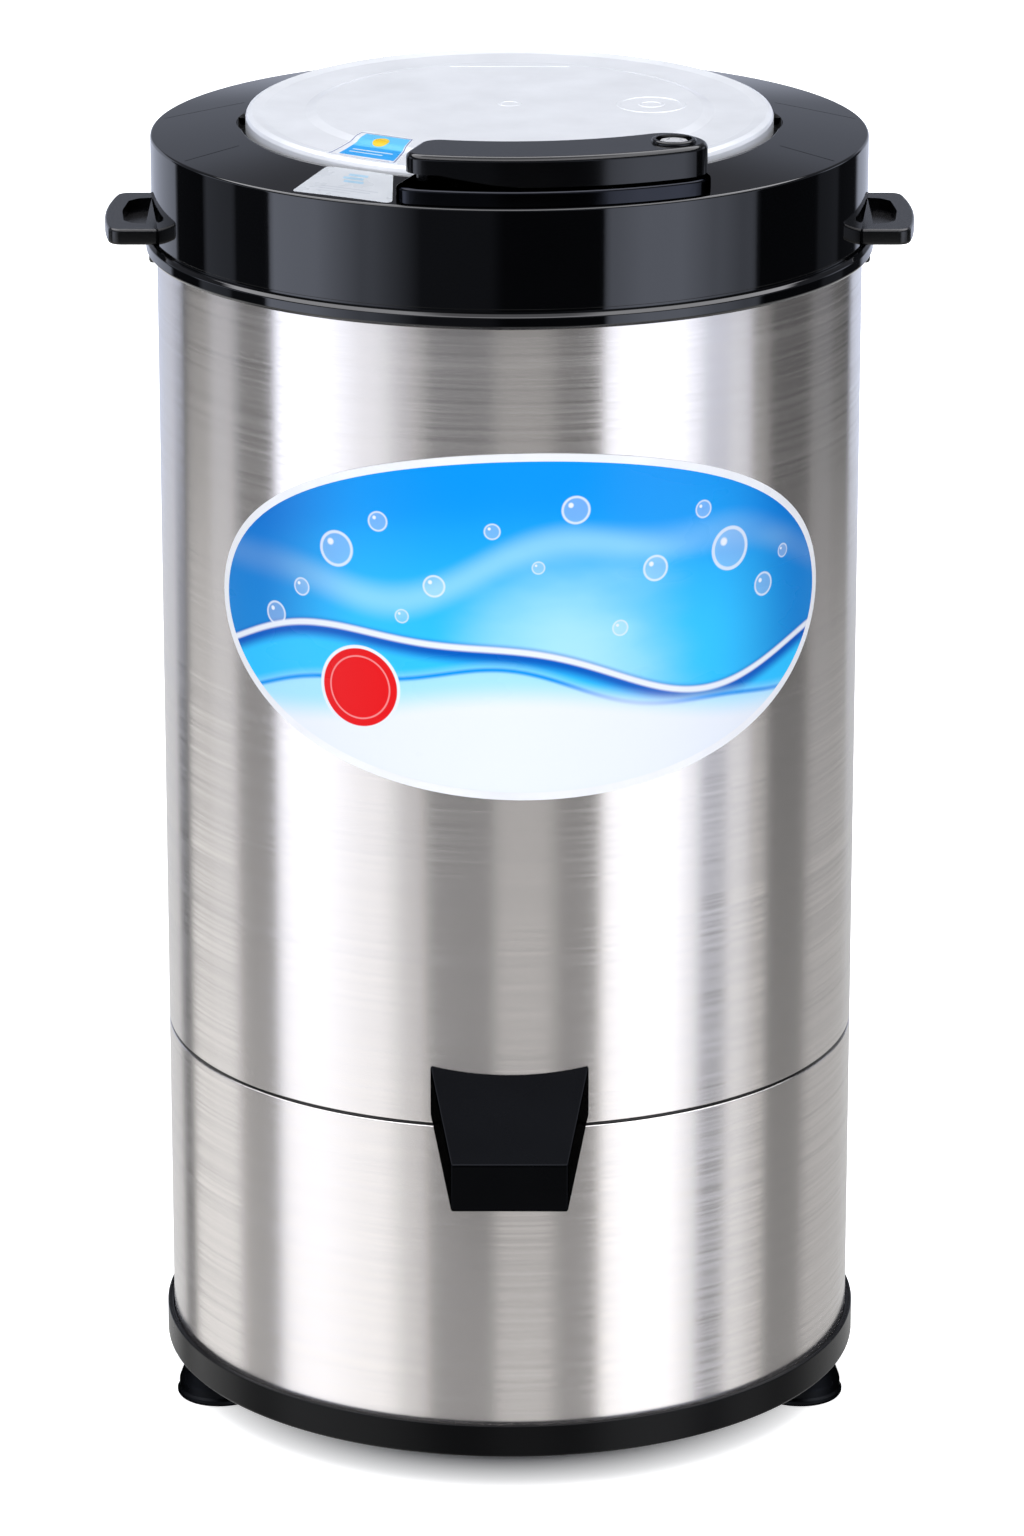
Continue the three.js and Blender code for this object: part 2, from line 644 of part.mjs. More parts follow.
// The handle on +X: a plate through the collar's arch, on a flange that closes it from inside.
function handle() {
  const inside = collarR - COLLAR_WALL - GAP;
  const root = inside - HANDLE_FLANGE;
  const top = zHandle + HANDLE_THICKNESS;
  const plateOutline = [
    [root + 1, -HANDLE_HALF_WIDTH],
    ...arcCorner(-1),
    ...arc(0, 0, handleReach, radians(-8), radians(8), 6),
    ...arcCorner(1),
    [root + 1, HANDLE_HALF_WIDTH],
  ];
  const plate = slab(plateOutline, zHandle, top, 1.2);
  const flangeTop = zHandle + HANDLE_ARCH_HEIGHT + 3;
  const flangeEnd = HANDLE_ARCH_HALF_WIDTH + 4;
  const flange = ring(root, inside, zShoulder + GAP, flangeTop)
    .intersect(box(root / 2, inside + 5, -flangeEnd, flangeEnd, zShoulder, flangeTop));
  const pocketIn = collarR + 1.5;
  const pocketOut = handleReach - HANDLE_POCKET_RIM;
  const pocket = slab(handlePocket(pocketIn, pocketOut), top - HANDLE_POCKET_DEPTH, top + 1);
  return plate.add(flange).subtract(pocket);
}

// One rounded outer corner of the handle's plate, on side -1 or 1 of the X axis.
function arcCorner(side) {
  const r = HANDLE_CORNER_R;
  const y = HANDLE_HALF_WIDTH - r;
  const x = Math.sqrt((handleReach - r) ** 2 - y ** 2);
  const out = Math.atan2(y, x);
  const points = arc(x, side * y, r, (side * Math.PI) / 2, side * out, 4);
  return side < 0 ? points : points.reverse();
}

function handlePocket(inner, outer) {
  const end = HANDLE_HALF_WIDTH - HANDLE_POCKET_END;
  const bulge = 1.6;
  return [
    [inner, -end - 3],
    [outer - 5, -end - 1],
    [outer - 1, -end + 2],
    [outer + bulge, 0],
    [outer - 1, end - 2],
    [outer - 5, end + 1],
    [inner, end + 3],
  ];
}

// A rounded clip on the casing, just under the trim ring.
function handleClip() {
  const peg = turned([
    [0, -3],
    [CLIP_R, -3],
    [CLIP_R, CLIP_REACH - 2],
    [CLIP_R - 2, CLIP_REACH],
    [0, CLIP_REACH],
  ], COARSE);
  return peg.rotate([0, 90, 0]).translate([CASING_R, 0, zTrim - CLIP_R - GAP])
    .subtract(disc(CASING_R + GAP, zTrim - 3 * CLIP_R, zTrim, ROUND));
}

// ---------------------------------------------------------------- lid and its hinge
// The shell is turned with a long skirt, tilted about its rim's middle and cut off level.
function lid() {
  const inside = lidR - LID_SKIRT;
  const plate = zLidRim - LID_RIM_DROP;
  const raised = plate + LID_STEP;
  const skirt = zLid - LID_RIM_HEIGHT;
  const level = turned([
    [0, raised - LID_WALL],
    [lidStepR - 4, raised - LID_WALL],
    [lidStepR + 3, plate - LID_WALL],
    [inside - 3, plate - LID_WALL],
    [inside, plate - LID_WALL - 2],
    [inside, skirt],
    [lidR, skirt],
    [lidR, zLidRim - 3],
    [lidR - 0.9, zLidRim - 0.9],
    [lidR - 3, zLidRim],
    [lidR - 7, plate],
    [lidStepR + 2, plate],
    [lidStepR - 4, raised],
    [0, raised + 0.3],
  ]);
  const shell = level.translate([0, 0, -zLidRim]).rotate([LID_TILT, 0, 0])
    .translate([0, 0, zLidRim]).trimByPlane([0, 0, 1], zLid);
  const barrel = barX(HINGE_BARREL_R, -HINGE_ARM_HALF_WIDTH, HINGE_ARM_HALF_WIDTH,
    hingeBack, zHinge);
  const arm = alongX([
    [inside, zLid + 0.6],
    [lidR + 0.6, zLid + 0.6],
    [hingeBack - 4, zHinge - 3],
    [hingeBack, zHinge],
    [hingeBack - 3, zHinge + 4],
    [hingeBack - 6, zHinge + 5.6],
    [lidR, zLid + 6],
    [inside, zLid + 6],
  ], -HINGE_ARM_HALF_WIDTH, HINGE_ARM_HALF_WIDTH);
  const bore = barX(bored(HINGE_PIN_R), -HINGE_ARM_HALF_WIDTH - 1,
    HINGE_ARM_HALF_WIDTH + 1, hingeBack, zHinge);
  return shell.add(arm).add(barrel).subtract(bore);
}

function lidSeal() {
  const [inner, outer] = [sealR - SEAL_WIDTH / 2, sealR + SEAL_WIDTH / 2];
  return turned([
    [inner, zLedge + GAP],
    [outer, zLedge + GAP],
    [outer - 1, zSealTop],
    [inner + 1, zSealTop],
  ]);
}

// The pocket in the collar for the hinge, shrunk on all sides by a margin.
function hingePocket(margin) {
  const half = HINGE_ARM_HALF_WIDTH + 2 + HINGE_CHEEK + GAP;
  const front = funnelR + TUB_RIB + 0.6;
  return box(-half + margin, half - margin, front + margin, front + HINGE_POCKET_LENGTH - margin,
    zTubTop + GAP + margin, zCrown + 10);
}

function hingeBracket() {
  const block = hingePocket(GAP);
  const floor = zTubTop + 2 * GAP + HINGE_FLOOR;
  const half = HINGE_ARM_HALF_WIDTH + 2;
  const channel = box(-half, half, 0, 2 * hingeBack, floor, zCrown + 20);
  const overCheeks = box(-hingeBack, hingeBack, 0, 2 * hingeBack, zHinge + 3.6, zCrown + 20);
  const aheadOfCheeks = box(-hingeBack, hingeBack, 0, hingeBack - 8, floor, zCrown + 20);
  const bore = barX(HINGE_PIN_R + GAP, -2 * half, 2 * half, hingeBack, zHinge);
  return block.subtract(channel).subtract(overCheeks).subtract(aheadOfCheeks).subtract(bore);
}

function hingePin() {
  const half = HINGE_ARM_HALF_WIDTH + 2 + HINGE_CHEEK - GAP;
  return barX(HINGE_PIN_R, -half, half, hingeBack, zHinge);
}

// ---------------------------------------------------------------- latch, pedestal and interlock
function latchLever() {
  const bar = slab(
    sector(latchInnerR, latchOuterR, [LATCH_LEFT_AZIMUTH, LATCH_RIGHT_AZIMUTH],
      [LATCH_LEFT_CORNER, LATCH_RIGHT_CORNER], 9),
    zLatch - 2 * LATCH_EDGE, zLatchTop, LATCH_EDGE);
  const [pinX, pinY] = polar(pivotCircleR, PIVOT_AZIMUTH);
  const place = [pinX, pinY, 0];
  const under = box(-latchOuterR, latchOuterR, -latchOuterR, 0, zLatch - LATCH_THICKNESS, zLatch);
  const left = polar(latchOuterR, LATCH_LEFT_AZIMUTH)[0];
  const scoop = alongY([
    [2 * left, zLatch - LATCH_THICKNESS],
    [-0.17 * left, zLatch - LATCH_THICKNESS],
    [-0.1 * left, zLatch],
    [0.14 * left, zLatch + 0.23 * LATCH_FINGER_GAP],
    [0.475 * left, zLatch + 0.62 * LATCH_FINGER_GAP],
    [0.685 * left, zLatch + LATCH_FINGER_GAP],
    [2 * left, zLatch + LATCH_FINGER_GAP],
  ], -2 * latchOuterR, -latchInnerR / 2);
  const boss = disc(PIVOT_RING_R, zLatchTop - 3, zLatchTop + PIVOT_RING_RISE).translate(place);
  const over = zLatchTop + LATCH_THICKNESS;
  const recess = disc(PIVOT_RECESS_R, zPivotHead - GAP, over).translate(place);
  const hole = disc(PIVOT_R + GAP, zLatch - 10, over).translate(place);
  return bar.subtract(under).subtract(scoop).add(boss).subtract(recess).subtract(hole);
}

function pivotPin() {
  const top = zPivotHead + PIVOT_HEAD_HEIGHT;
  return turned([
    [0, zRodTop],
    [PIVOT_R, zRodTop],
    [PIVOT_R, zPivotHead],
    [PIVOT_HEAD_R, zPivotHead],
    [PIVOT_HEAD_R, top - 0.8],
    [PIVOT_HEAD_R - 1, top],
    [0, top],
  ], FINE);
}

// The pedestal lies on the collar's crown and follows its rounded outer edge.
function pedestal() {
  const block = slab(
    sector(latchInnerR + 1, latchOuterR, [PEDESTAL_LEFT_AZIMUTH, PEDESTAL_RIGHT_AZIMUTH],
      [PEDESTAL_LEFT_CORNER, PEDESTAL_RIGHT_CORNER], 9),
    zCollarEdge - PEDESTAL_SKIRT, zPedestal, 1.6);
  const edge = arc(collarR - COLLAR_EDGE_R, zCollarEdge - COLLAR_EDGE_R + GAP, COLLAR_EDGE_R + GAP,
    0, Math.PI / 2, 4);
  const crown = turned([
    [0, zFunnel],
    [collarR + GAP, zFunnel],
    ...edge,
    [0, crownZ(0) + 2 * GAP],
  ]);
  const bushHole = disc(PIVOT_R + BUSH_WALL + GAP, zFunnel, zPedestal + 5);
  const plungerHole = disc(PLUNGER_R + PLUNGER_CLEARANCE, zFunnel, zPedestal + 5, COARSE);
  return block.subtract(crown)
    .subtract(bushHole.translate([...polar(pivotCircleR, PIVOT_AZIMUTH), 0]))
    .subtract(plungerHole.translate([...polar(plungerCircleR, PLUNGER_AZIMUTH), 0]));
}

function pivotBush() {
  const bottom = crownZ(pivotCircleR - PIVOT_R - BUSH_WALL) + GAP;
  return ring(bored(PIVOT_R), PIVOT_R + BUSH_WALL, bottom, zPedestal + 0.6, FINE);
}

function plunger() {
  const top = zLatch + LATCH_FINGER_GAP - PLUNGER_GAP;
  return turned([
    [0, zFunnel + SWITCH_BODY[2] - 6],
    [PLUNGER_R, zFunnel + SWITCH_BODY[2] - 6],
    [PLUNGER_R, top - 1],
    [PLUNGER_R - 1, top],
    [0, top],
  ], COARSE);
}

// The switch under the collar, with the socket that the plunger works in.
function interlockSwitch() {
  const [x, y, height] = SWITCH_BODY;
  const top = zFunnel + height - 2;
  const body = box(-x / 2, x / 2, -y / 2, y / 2, top - height, top);
  return body.subtract(disc(PLUNGER_R + PLUNGER_CLEARANCE, top - height / 2, top + 1, COARSE));
}

// ---------------------------------------------------------------- tub, nozzle and hood
function tub() {
  const inner = tubR - TUB_WALL;
  const centre = zTubFloor + TUB_DOME;
  const shell = turned([
    [tubHoleR, centre - TUB_WALL],
    [TUB_DOME_R, centre - TUB_WALL],
    [inner - 4, zTubFloor - TUB_WALL],
    [tubR - 1, zTubFloor - TUB_WALL],
    [tubR, zTubFloor - TUB_WALL + 1],
    [tubR, zTubTop],
    [inner, zTubTop],
    [inner, zTubFloor + 2],
    [inner - 3, zTubFloor],
    [TUB_DOME_R + 1, centre],
    [tubHoleR, centre],
  ], MIDDLE);
  return shell.subtract(barY(NOZZLE_R + GAP, -tubR - 10, -inner + 10, 0, zNozzle));
}

function nozzle() {
  const start = -tubR + TUB_WALL + 0.5;
  const end = -CASING_R - NOZZLE_REACH;
  const tube = barY(NOZZLE_R, end, start, 0, zNozzle);
  const collarRing = barY(NOZZLE_R + 4, -tubR - GAP - 2.5, -tubR - GAP, 0, zNozzle);
  const bore = barY(NOZZLE_R - NOZZLE_WALL, end - 5, start + 5, 0, zNozzle);
  return tube.add(collarRing).subtract(bore);
}

// A hood's outer form, or its hollow when it is drawn in by the wall.
function hoodForm(wall) {
  const back = -CASING_R + HOOD_BACK;
  const front = -hoodReach + wall;
  const lower = wall > 0 ? HOOD_FRONT_HEIGHT + wall : 0;
  const side = [
    [back, zSeam + HOOD_TOP_BACK + slope(HOOD_BACK) - wall],
    [back, zSeam + HOOD_SIDE_BACK - lower],
    [-CASING_R + 4, zSeam + HOOD_SIDE_BACK - lower],
    [front, zSeam + HOOD_TOP_FRONT - HOOD_FRONT_HEIGHT - lower],
    [front, zSeam + HOOD_TOP_FRONT - wall + (wall * slope(1))],
  ];
  const plan = [
    [-HOOD_BACK_HALF_WIDTH + wall, back],
    [-HOOD_BACK_HALF_WIDTH + wall, -CASING_R + 3],
    [-HOOD_FRONT_HALF_WIDTH + wall, front],
    [HOOD_FRONT_HALF_WIDTH - wall, front],
    [HOOD_BACK_HALF_WIDTH - wall, -CASING_R + 3],
    [HOOD_BACK_HALF_WIDTH - wall, back],
  ];
  const width = 2 * HOOD_BACK_HALF_WIDTH;
  const [low, high] = [zSeam - HOOD_LENGTH - 2 * HOOD_FRONT_HEIGHT, zSeam + 2 * HOOD_TOP_BACK];
  return alongX(side, -width, width).intersect(slab(plan.reverse(), low, high));
}

// How much the hood's top rises over a run towards the casing.
function slope(run) {
  return (run * (HOOD_TOP_BACK - HOOD_TOP_FRONT)) / HOOD_LENGTH;
}

function drainHood() {
  const bossFront = -CASING_R - HOOD_BOSS_LENGTH;
  const outside = hoodForm(0);
  let shape = outside.subtract(hoodForm(HOOD_WALL));
  for (const x of [-HOOD_SCREW_X, HOOD_SCREW_X]) {
    const boss = barY(HOOD_BOSS_R, bossFront, -CASING_R + 20, x, zHoodScrew, COARSE);
    shape = shape.add(boss.intersect(outside));
    const screwHole = barY(HOOD_SCREW_R + GAP, bossFront + 4, -CASING_R / 2, x, zHoodScrew, COARSE);
    shape = shape.subtract(screwHole);
  }
  return shape.subtract(disc(CASING_R + GAP, zSeam - HOOD_LENGTH, zSeam + HOOD_LENGTH, ROUND));
}

function hoodScrew() {
  const inner = CASING_R - SHEET;
  const shank = barY(HOOD_SCREW_R, -CASING_R - HOOD_BOSS_LENGTH + 5, -inner + 4, 0, 0, COARSE);
  return shank.add(barY(4, -inner + 3, -inner + 6, 0, 0, 6));
}

// ---------------------------------------------------------------- drum and drive
function drum() {
  const inner = DRUM_R - DRUM_WALL;
  const shell = turned([
    [HUB_NECK_R, zDrum],
    [DRUM_R - DRUM_EDGE, zDrum],
    [DRUM_R, zDrum + DRUM_EDGE],
    [DRUM_R, zDrumTop - 3],
    [DRUM_R - 3, zDrumTop],
    [drumMouthR, zDrumTop],
    [drumMouthR, zDrumTop - DRUM_WALL],
    [DRUM_R - 3.6, zDrumTop - DRUM_WALL],
    [inner, zDrumTop - 3.6],
    [inner, zDrum + DRUM_EDGE + 0.6],
    [DRUM_R - DRUM_EDGE - 0.6, zDrum + DRUM_WALL],
    [HUB_NECK_R, zDrum + DRUM_WALL],
  ], MIDDLE);
  const pitch = DRUM_HEIGHT / (DRUM_HOLE_ROWS + 1);
  const holes = [];
  for (let row = 0; row < DRUM_HOLE_ROWS; row++) {
    for (let i = 0; i < DRUM_HOLES_IN_ROW; i++) {
      const turn = ((i + (row % 2) / 2) * 360) / DRUM_HOLES_IN_ROW + 5;
      const hole = barX(DRUM_HOLE_R, inner - 3, DRUM_R + 3, 0, 0, 6);
      holes.push(hole.translate([0, 0, zDrum + pitch * (row + 1)]).rotate([0, 0, turn]));
    }
  }
  return holes.reduce((shape, hole) => shape.subtract(hole), shell);
}

// The plastic ring that keeps clothes off the drum's rolled mouth.
function drumRing() {
  const top = zDrumTop - DRUM_WALL - GAP;
  const outer = DRUM_R - DRUM_WALL - GAP - DRUM_RING_BEHIND;
  return ring(drumMouthR, outer, top - DRUM_RING_HEIGHT, top, MIDDLE);
}

function drumHub() {
  const bore = SHAFT_R + GAP;
  const neck = HUB_NECK_R - GAP;
  const top = zDrum + DRUM_WALL + HUB_NECK;
  return turned([
    [bore, zHub],
    [HUB_R, zHub],
    [HUB_R, zHub + HUB_HEIGHT],
    [neck, zHub + HUB_HEIGHT],
    [neck, top],
    [bore, top],
  ], FINE);
}

function drumNut() {
  const bottom = zDrum + DRUM_WALL + HUB_NECK + GAP;
  const bore = disc(SHAFT_R + GAP, bottom - 1, bottom + NUT_HEIGHT + 1);
  return disc(NUT_R, bottom, bottom + NUT_HEIGHT, 6).subtract(bore);
}

function drumCone() {
  const bottom = zDrum + DRUM_WALL + GAP;
  const top = bottom + DRUM_CONE_HEIGHT;
  const wall = DRUM_CONE_WALL;
  return turned([
    [DRUM_CONE_R - wall - 1, bottom],
    [DRUM_CONE_R, bottom],
    [DRUM_CONE_R - 6, bottom + 8],
    [DRUM_CONE_TOP_R, top - 8],
    [DRUM_CONE_TOP_R - 8, top],
    [0, top],
    [0, top - wall],
    [DRUM_CONE_TOP_R - 9, top - wall],
    [DRUM_CONE_TOP_R - 2, top - 10],
    [DRUM_CONE_R - 6 - wall, bottom + 7],
  ], FINE);
}

function shaft() {
  return disc(SHAFT_R, zBrakeDrum - SHAFT_UNDER_BRAKE, zDrum + DRUM_WALL + SHAFT_OVER_FLOOR);
}

function bearing(z) {
  return ring(bored(SHAFT_R), BEARING_R, z, z + BEARING_HEIGHT, FINE);
}

function motorHousing() {
  const inner = MOTOR_R - MOTOR_WALL;
  return turned([
    [inner, zMotor],
    [MOTOR_R, zMotor],
    [MOTOR_R, zMotorTop],
    [inner, zMotorTop],
  ], MIDDLE);
}

function rotorZ() {
  return zMotor + (MOTOR_HEIGHT - ROTOR_HEIGHT) / 2;
}

function stator() {
  const bottom = zMotor + (MOTOR_HEIGHT - STATOR_HEIGHT) / 2;
  return ring(ROTOR_R + AIR_GAP, MOTOR_R - MOTOR_WALL - GAP, bottom, bottom + STATOR_HEIGHT, MIDDLE);
}

function rotor() {
  return ring(SHAFT_R + GAP, ROTOR_R, rotorZ(), rotorZ() + ROTOR_HEIGHT, MIDDLE);
}

function endBell() {
  const bottom = zMotorTop + GAP;
  const hole = HOUSING_R - 8;
  return turned([
    [hole, bottom],
    [MOTOR_R, bottom],
    [MOTOR_R, bottom + 3],
    [MOTOR_R - 12, bottom + END_BELL],
    [hole, bottom + END_BELL],
  ], MIDDLE);
}

function bearingHousing() {
  const seat = BEARING_R + GAP;
  const floor = zHousingTop - BEARING_HEIGHT - 2 * GAP;
  return turned([
    [SHAFT_R + 2, zHousing],
    [HOUSING_R + HOUSING_FLANGE, zHousing],
    [HOUSING_R + HOUSING_FLANGE, zHousing + 5],
    [HOUSING_R, zHousing + 7],
    [HOUSING_R, zHousingTop],
    [seat, zHousingTop],
    [seat, floor],
    [SHAFT_R + 2, floor],
  ], FINE);
}

// The rubber boot between the tub's floor and the bearing housing.
function tubSeal() {
  const floor = zTubFloor + TUB_DOME + GAP;
  const inner = HOUSING_R + GAP;
  return turned([
    [inner, floor - BOOT_LIP],
    [tubHoleR - GAP, floor - BOOT_LIP],
    [tubHoleR - GAP, floor],
    [tubHoleR + BOOT_LIP, floor],
    [tubHoleR + BOOT_LIP, floor + 2],
    [inner + 3, floor + 3],
    [inner, floor + 3],
  ], FINE);
}

// A cast ring on three arms that reach down to the rubber mounts.
function tripod() {
  const ringIn = BEARING_R + GAP;
  const top = zTripodRing + TRIPOD_RING_HEIGHT;
  let shape = turned([
    [SHAFT_R + 2, zTripodRing - 5],
    [ringIn + 3, zTripodRing - 5],
    [ringIn + 3, zTripodRing],
    [MOTOR_R + 4, zTripodRing],
    [MOTOR_R + 4, top],
    [ringIn, top],
    [ringIn, zTripodRing - 2],
    [SHAFT_R + 2, zTripodRing - 2],
  ], MIDDLE);
  const foot = zTripod;
  const side = [
    [MOTOR_R - 4, zTripodRing],
    [MOTOR_R + 14, zTripodRing - 4],
    [MOUNT_CIRCLE_R - 16, foot],
    [MOUNT_CIRCLE_R + 14, foot],
    [MOUNT_CIRCLE_R + 14, foot + TRIPOD_FOOT],
    [MOUNT_CIRCLE_R - 12, foot + TRIPOD_FOOT],
    [MOTOR_R + 20, top - 2],
    [MOTOR_R - 4, top],
  ];
  for (const azimuth of MOUNT_AZIMUTHS) {
    const arm = slab(side, -TRIPOD_ARM_HALF_WIDTH, TRIPOD_ARM_HALF_WIDTH).rotate([90, 0, 0]);
    const hole = disc(STUD_R + GAP, foot - 1, foot + TRIPOD_FOOT + 1, COARSE);
    shape = shape.add(arm.subtract(hole.translate([MOUNT_CIRCLE_R, 0, 0]))
      .rotate([0, 0, azimuth - 90]));
  }
  return shape.add(brakePin().rotate([0, 0, PIVOT_AZIMUTH - 90]));
}

function suspensionMount() {
  const waist = MOUNT_R - 4;
  return turned([
    [STUD_R + GAP, 0],
    [MOUNT_R, 0],
    [MOUNT_R, 5],
    [waist, MOUNT_HEIGHT / 2 - 3],
    [waist, MOUNT_HEIGHT / 2 + 3],
    [MOUNT_R, MOUNT_HEIGHT - 5],
    [MOUNT_R, MOUNT_HEIGHT],
    [STUD_R + GAP, MOUNT_HEIGHT],
  ], FINE);
}

// The stud through a mount, with its nut over the tripod's foot.
function mountStud() {
  const nutZ = GAP + MOUNT_HEIGHT + GAP + TRIPOD_FOOT;
  return disc(STUD_R, GAP, nutZ + 8, COARSE).add(disc(2 * STUD_R, nutZ, nutZ + 5, 6));
}

// ---------------------------------------------------------------- brake
function brakeDrum() {
  const inner = BRAKE_DRUM_R - BRAKE_RIM;
  return turned([
    [SHAFT_R + GAP, zBrakeDrum],
    [SHAFT_R + 7, zBrakeDrum],
    [SHAFT_R + 7, zBrakeDrum + BRAKE_DRUM_HEIGHT - 4],
    [inner, zBrakeDrum + BRAKE_DRUM_HEIGHT - 4],
    [inner, zBrakeDrum],
    [BRAKE_DRUM_R, zBrakeDrum],
    [BRAKE_DRUM_R, zBrakeDrum + BRAKE_DRUM_HEIGHT],
    [SHAFT_R + GAP, zBrakeDrum + BRAKE_DRUM_HEIGHT],
  ], FINE);
}

// Drawn with +X towards the brake rod: the arm turns about its pivot, beside the drum.
function brakeArm() {
  const [px, py] = BRAKE_PIVOT;
  const half = BRAKE_ARM_HALF_WIDTH;
  const face = BRAKE_DRUM_R + BRAKE_GAP + BRAKE_LINING + GAP;
  const tip = pivotCircleR - 2;
  const side = -CAM_R - CAM_THROW - CAM_GAP;
  const outline = [
    [face, -14],
    [px - half, py - 2],
    [px, py - half - 2],
    [px + half, py - 2],
    [tip, side - 2 * half],
    [tip + 6, side - half],
    [tip + 6, side],
    [tip - 6, side],
    [px + half + 6, py + half + 8],
    [face + 9, -8],
    [face + 9, 14],
    [face, 14],
  ];
  const arm = slab(outline, zBrakeArm, zBrakeArm + BRAKE_ARM_THICKNESS);
  const hub = disc(half + 2, zBrakeArm, zBrakeArm + BRAKE_ARM_THICKNESS).translate([px, py, 0]);
  const bore = disc(bored(BRAKE_PIN_R), zBrakeArm - 5, zBrakeArm + 20).translate([px, py, 0]);
  return arm.add(hub).subtract(bore);
}

function brakeLining() {
  const inner = BRAKE_DRUM_R + BRAKE_GAP;
  const halfHeight = BRAKE_ARM_THICKNESS / 2;
  const middle = zBrakeArm + halfHeight;
  const flat = inner + BRAKE_LINING;
  const block = box(inner - 5, flat, -13, 13, middle - halfHeight, middle + halfHeight);
  return block.subtract(disc(inner, middle - 20, middle + 20, ROUND));
}

// The pin that the brake arm turns on, on a lug cast under the tripod's ring.
function brakePin() {
  const [px, py] = BRAKE_PIVOT;
  const top = zTripodRing + TRIPOD_RING_HEIGHT;
  const shoulder = zBrakeArm + BRAKE_ARM_THICKNESS + GAP;
  const pin = disc(BRAKE_PIN_R, zBrakeArm - 3, top).add(disc(BRAKE_PIN_R + 4, shoulder, top));
  return pin.translate([px, py, 0]);
}

function brakeRod() {
  const rod = disc(BRAKE_ROD_R, zBaseFloor + GAP, zRodTop - GAP, COARSE);
  const cam = disc(CAM_R, zBrakeArm - 1, zBrakeArm + BRAKE_ARM_THICKNESS + 1, FINE);
  return rod.add(cam.translate([0, -CAM_THROW, 0]));
}

// ---------------------------------------------------------------- electrics and badge
function capacitor() {
  const bottom = zBaseFloor + GAP;
  return turned([
    [0, bottom],
    [CAPACITOR_R, bottom],
    [CAPACITOR_R, bottom + CAPACITOR_HEIGHT],
    [CAPACITOR_R - 3, bottom + CAPACITOR_HEIGHT],
    [CAPACITOR_R - 4, bottom + CAPACITOR_HEIGHT + 4],
    [0, bottom + CAPACITOR_HEIGHT + 4],
  ], FINE);
}

function capacitorClip() {
  const bottom = zBaseFloor + GAP;
  const inner = CAPACITOR_R + GAP;
  const band = ring(inner, inner + 2, bottom, bottom + 22, FINE);
  const foot = box(inner, inner + 16, -8, 8, bottom, bottom + 2.5);
  return band.add(foot);
}

// An oval cut from a thin skin that lies on the casing.
function frontBadge() {
  const inner = CASING_R + GAP;
  const z = zSeam + BADGE_HEIGHT;
  const steps = 48;
  const outline = arc(0, 0, 1, 0, 2 * Math.PI, steps).slice(1).map(([across, up]) => [
    CASING_R * Math.sin((across * BADGE_HALF_LENGTH) / CASING_R),
    z + up * BADGE_HALF_HEIGHT,
  ]);
  const skin = ring(inner, inner + BADGE_SHEET, z - BADGE_HALF_HEIGHT - 5,
    z + BADGE_HALF_HEIGHT + 5);
  return skin.intersect(alongY(outline, -CASING_R - 10, -20).rotate([0, 0, BADGE_AZIMUTH]));
}

// ---------------------------------------------------------------- assembly
// Builds a group of parts, each a [name, solid, material] triple.
function assembly(parts) {
  const group = new THREE.Group();
  for (const [name, shape, material] of parts) group.add(mesh(name, shape, material));
  return group;
}

function place(object, x, y, z = 0, turn = 0) {
  object.position.set(x, y, z);
  object.rotation.z = turn;
  return object;
}

const fixed = assembly([
  ["base_tray", baseTray(), satinBlack],
  ["lower_casing", lowerCasing(), steel],
  ["seam_ring", seamRing(), satinBlack],
  ["upper_casing", upperCasing(), steel],
  ["cord_gland", cordGland(), rubber],
  ["collar", collar(), glossBlack],
  ["collar_trim_ring", trimRing(), glossBlack],
  ["lid_seal", lidSeal(), rubber],
  ["lid_hinge_bracket", hingeBracket(), satinBlack],
  ["lid_hinge_pin", hingePin(), chrome],
  ["latch_pedestal", pedestal(), satinBlack],
  ["water_tub", tub(), greyPlastic],
  ["drain_nozzle", nozzle(), greyPlastic],
  ["drain_hood", drainHood(), satinBlack],
  ["tub_seal", tubSeal(), rubber],
  ["motor_tripod", tripod(), castAluminium],
  ["motor_housing", motorHousing(), castAluminium],
  ["motor_stator", stator(), copper],
  ["motor_end_bell", endBell(), castAluminium],
  ["bearing_housing", bearingHousing(), castAluminium],
  ["lower_bearing", bearing(zTripodRing - 2 + GAP), galvanised],
  ["upper_bearing", bearing(zHousingTop - BEARING_HEIGHT - GAP), galvanised],
  ["front_badge", frontBadge(), vinyl],
]);

for (const [side, azimuth] of Object.entries(FOOT_AZIMUTHS)) {
  const [x, y] = polar(footCircleR, azimuth);
  fixed.add(place(mesh("foot_" + side, footShape(), rubber), x, y));
  fixed.add(place(mesh("foot_screw_" + side, footScrewShape(), galvanised), x, y));
}

MOUNT_AZIMUTHS.forEach((azimuth, i) => {
  const [x, y] = polar(MOUNT_CIRCLE_R, azimuth);
  const number = i + 1;
  fixed.add(place(mesh("motor_mount_" + number, suspensionMount(), rubber), x, y, zMount));
  fixed.add(place(mesh("mount_stud_" + number, mountStud(), galvanised), x, y, zMount));
});

for (const [side, turn] of [["right", 0], ["left", Math.PI]]) {
  fixed.add(place(mesh("side_handle_" + side, handle(), satinBlack), 0, 0, 0, turn));
  const clipTurn = radians(side === "right" ? CLIP_AZIMUTH - 90 : -CLIP_AZIMUTH - 90);
  fixed.add(place(mesh("handle_clip_" + side, handleClip(), satinBlack), 0, 0, 0, clipTurn));
  const x = side === "right" ? HOOD_SCREW_X : -HOOD_SCREW_X;
  fixed.add(place(mesh("hood_screw_" + side, hoodScrew(), galvanised), x, 0, zHoodScrew));
}

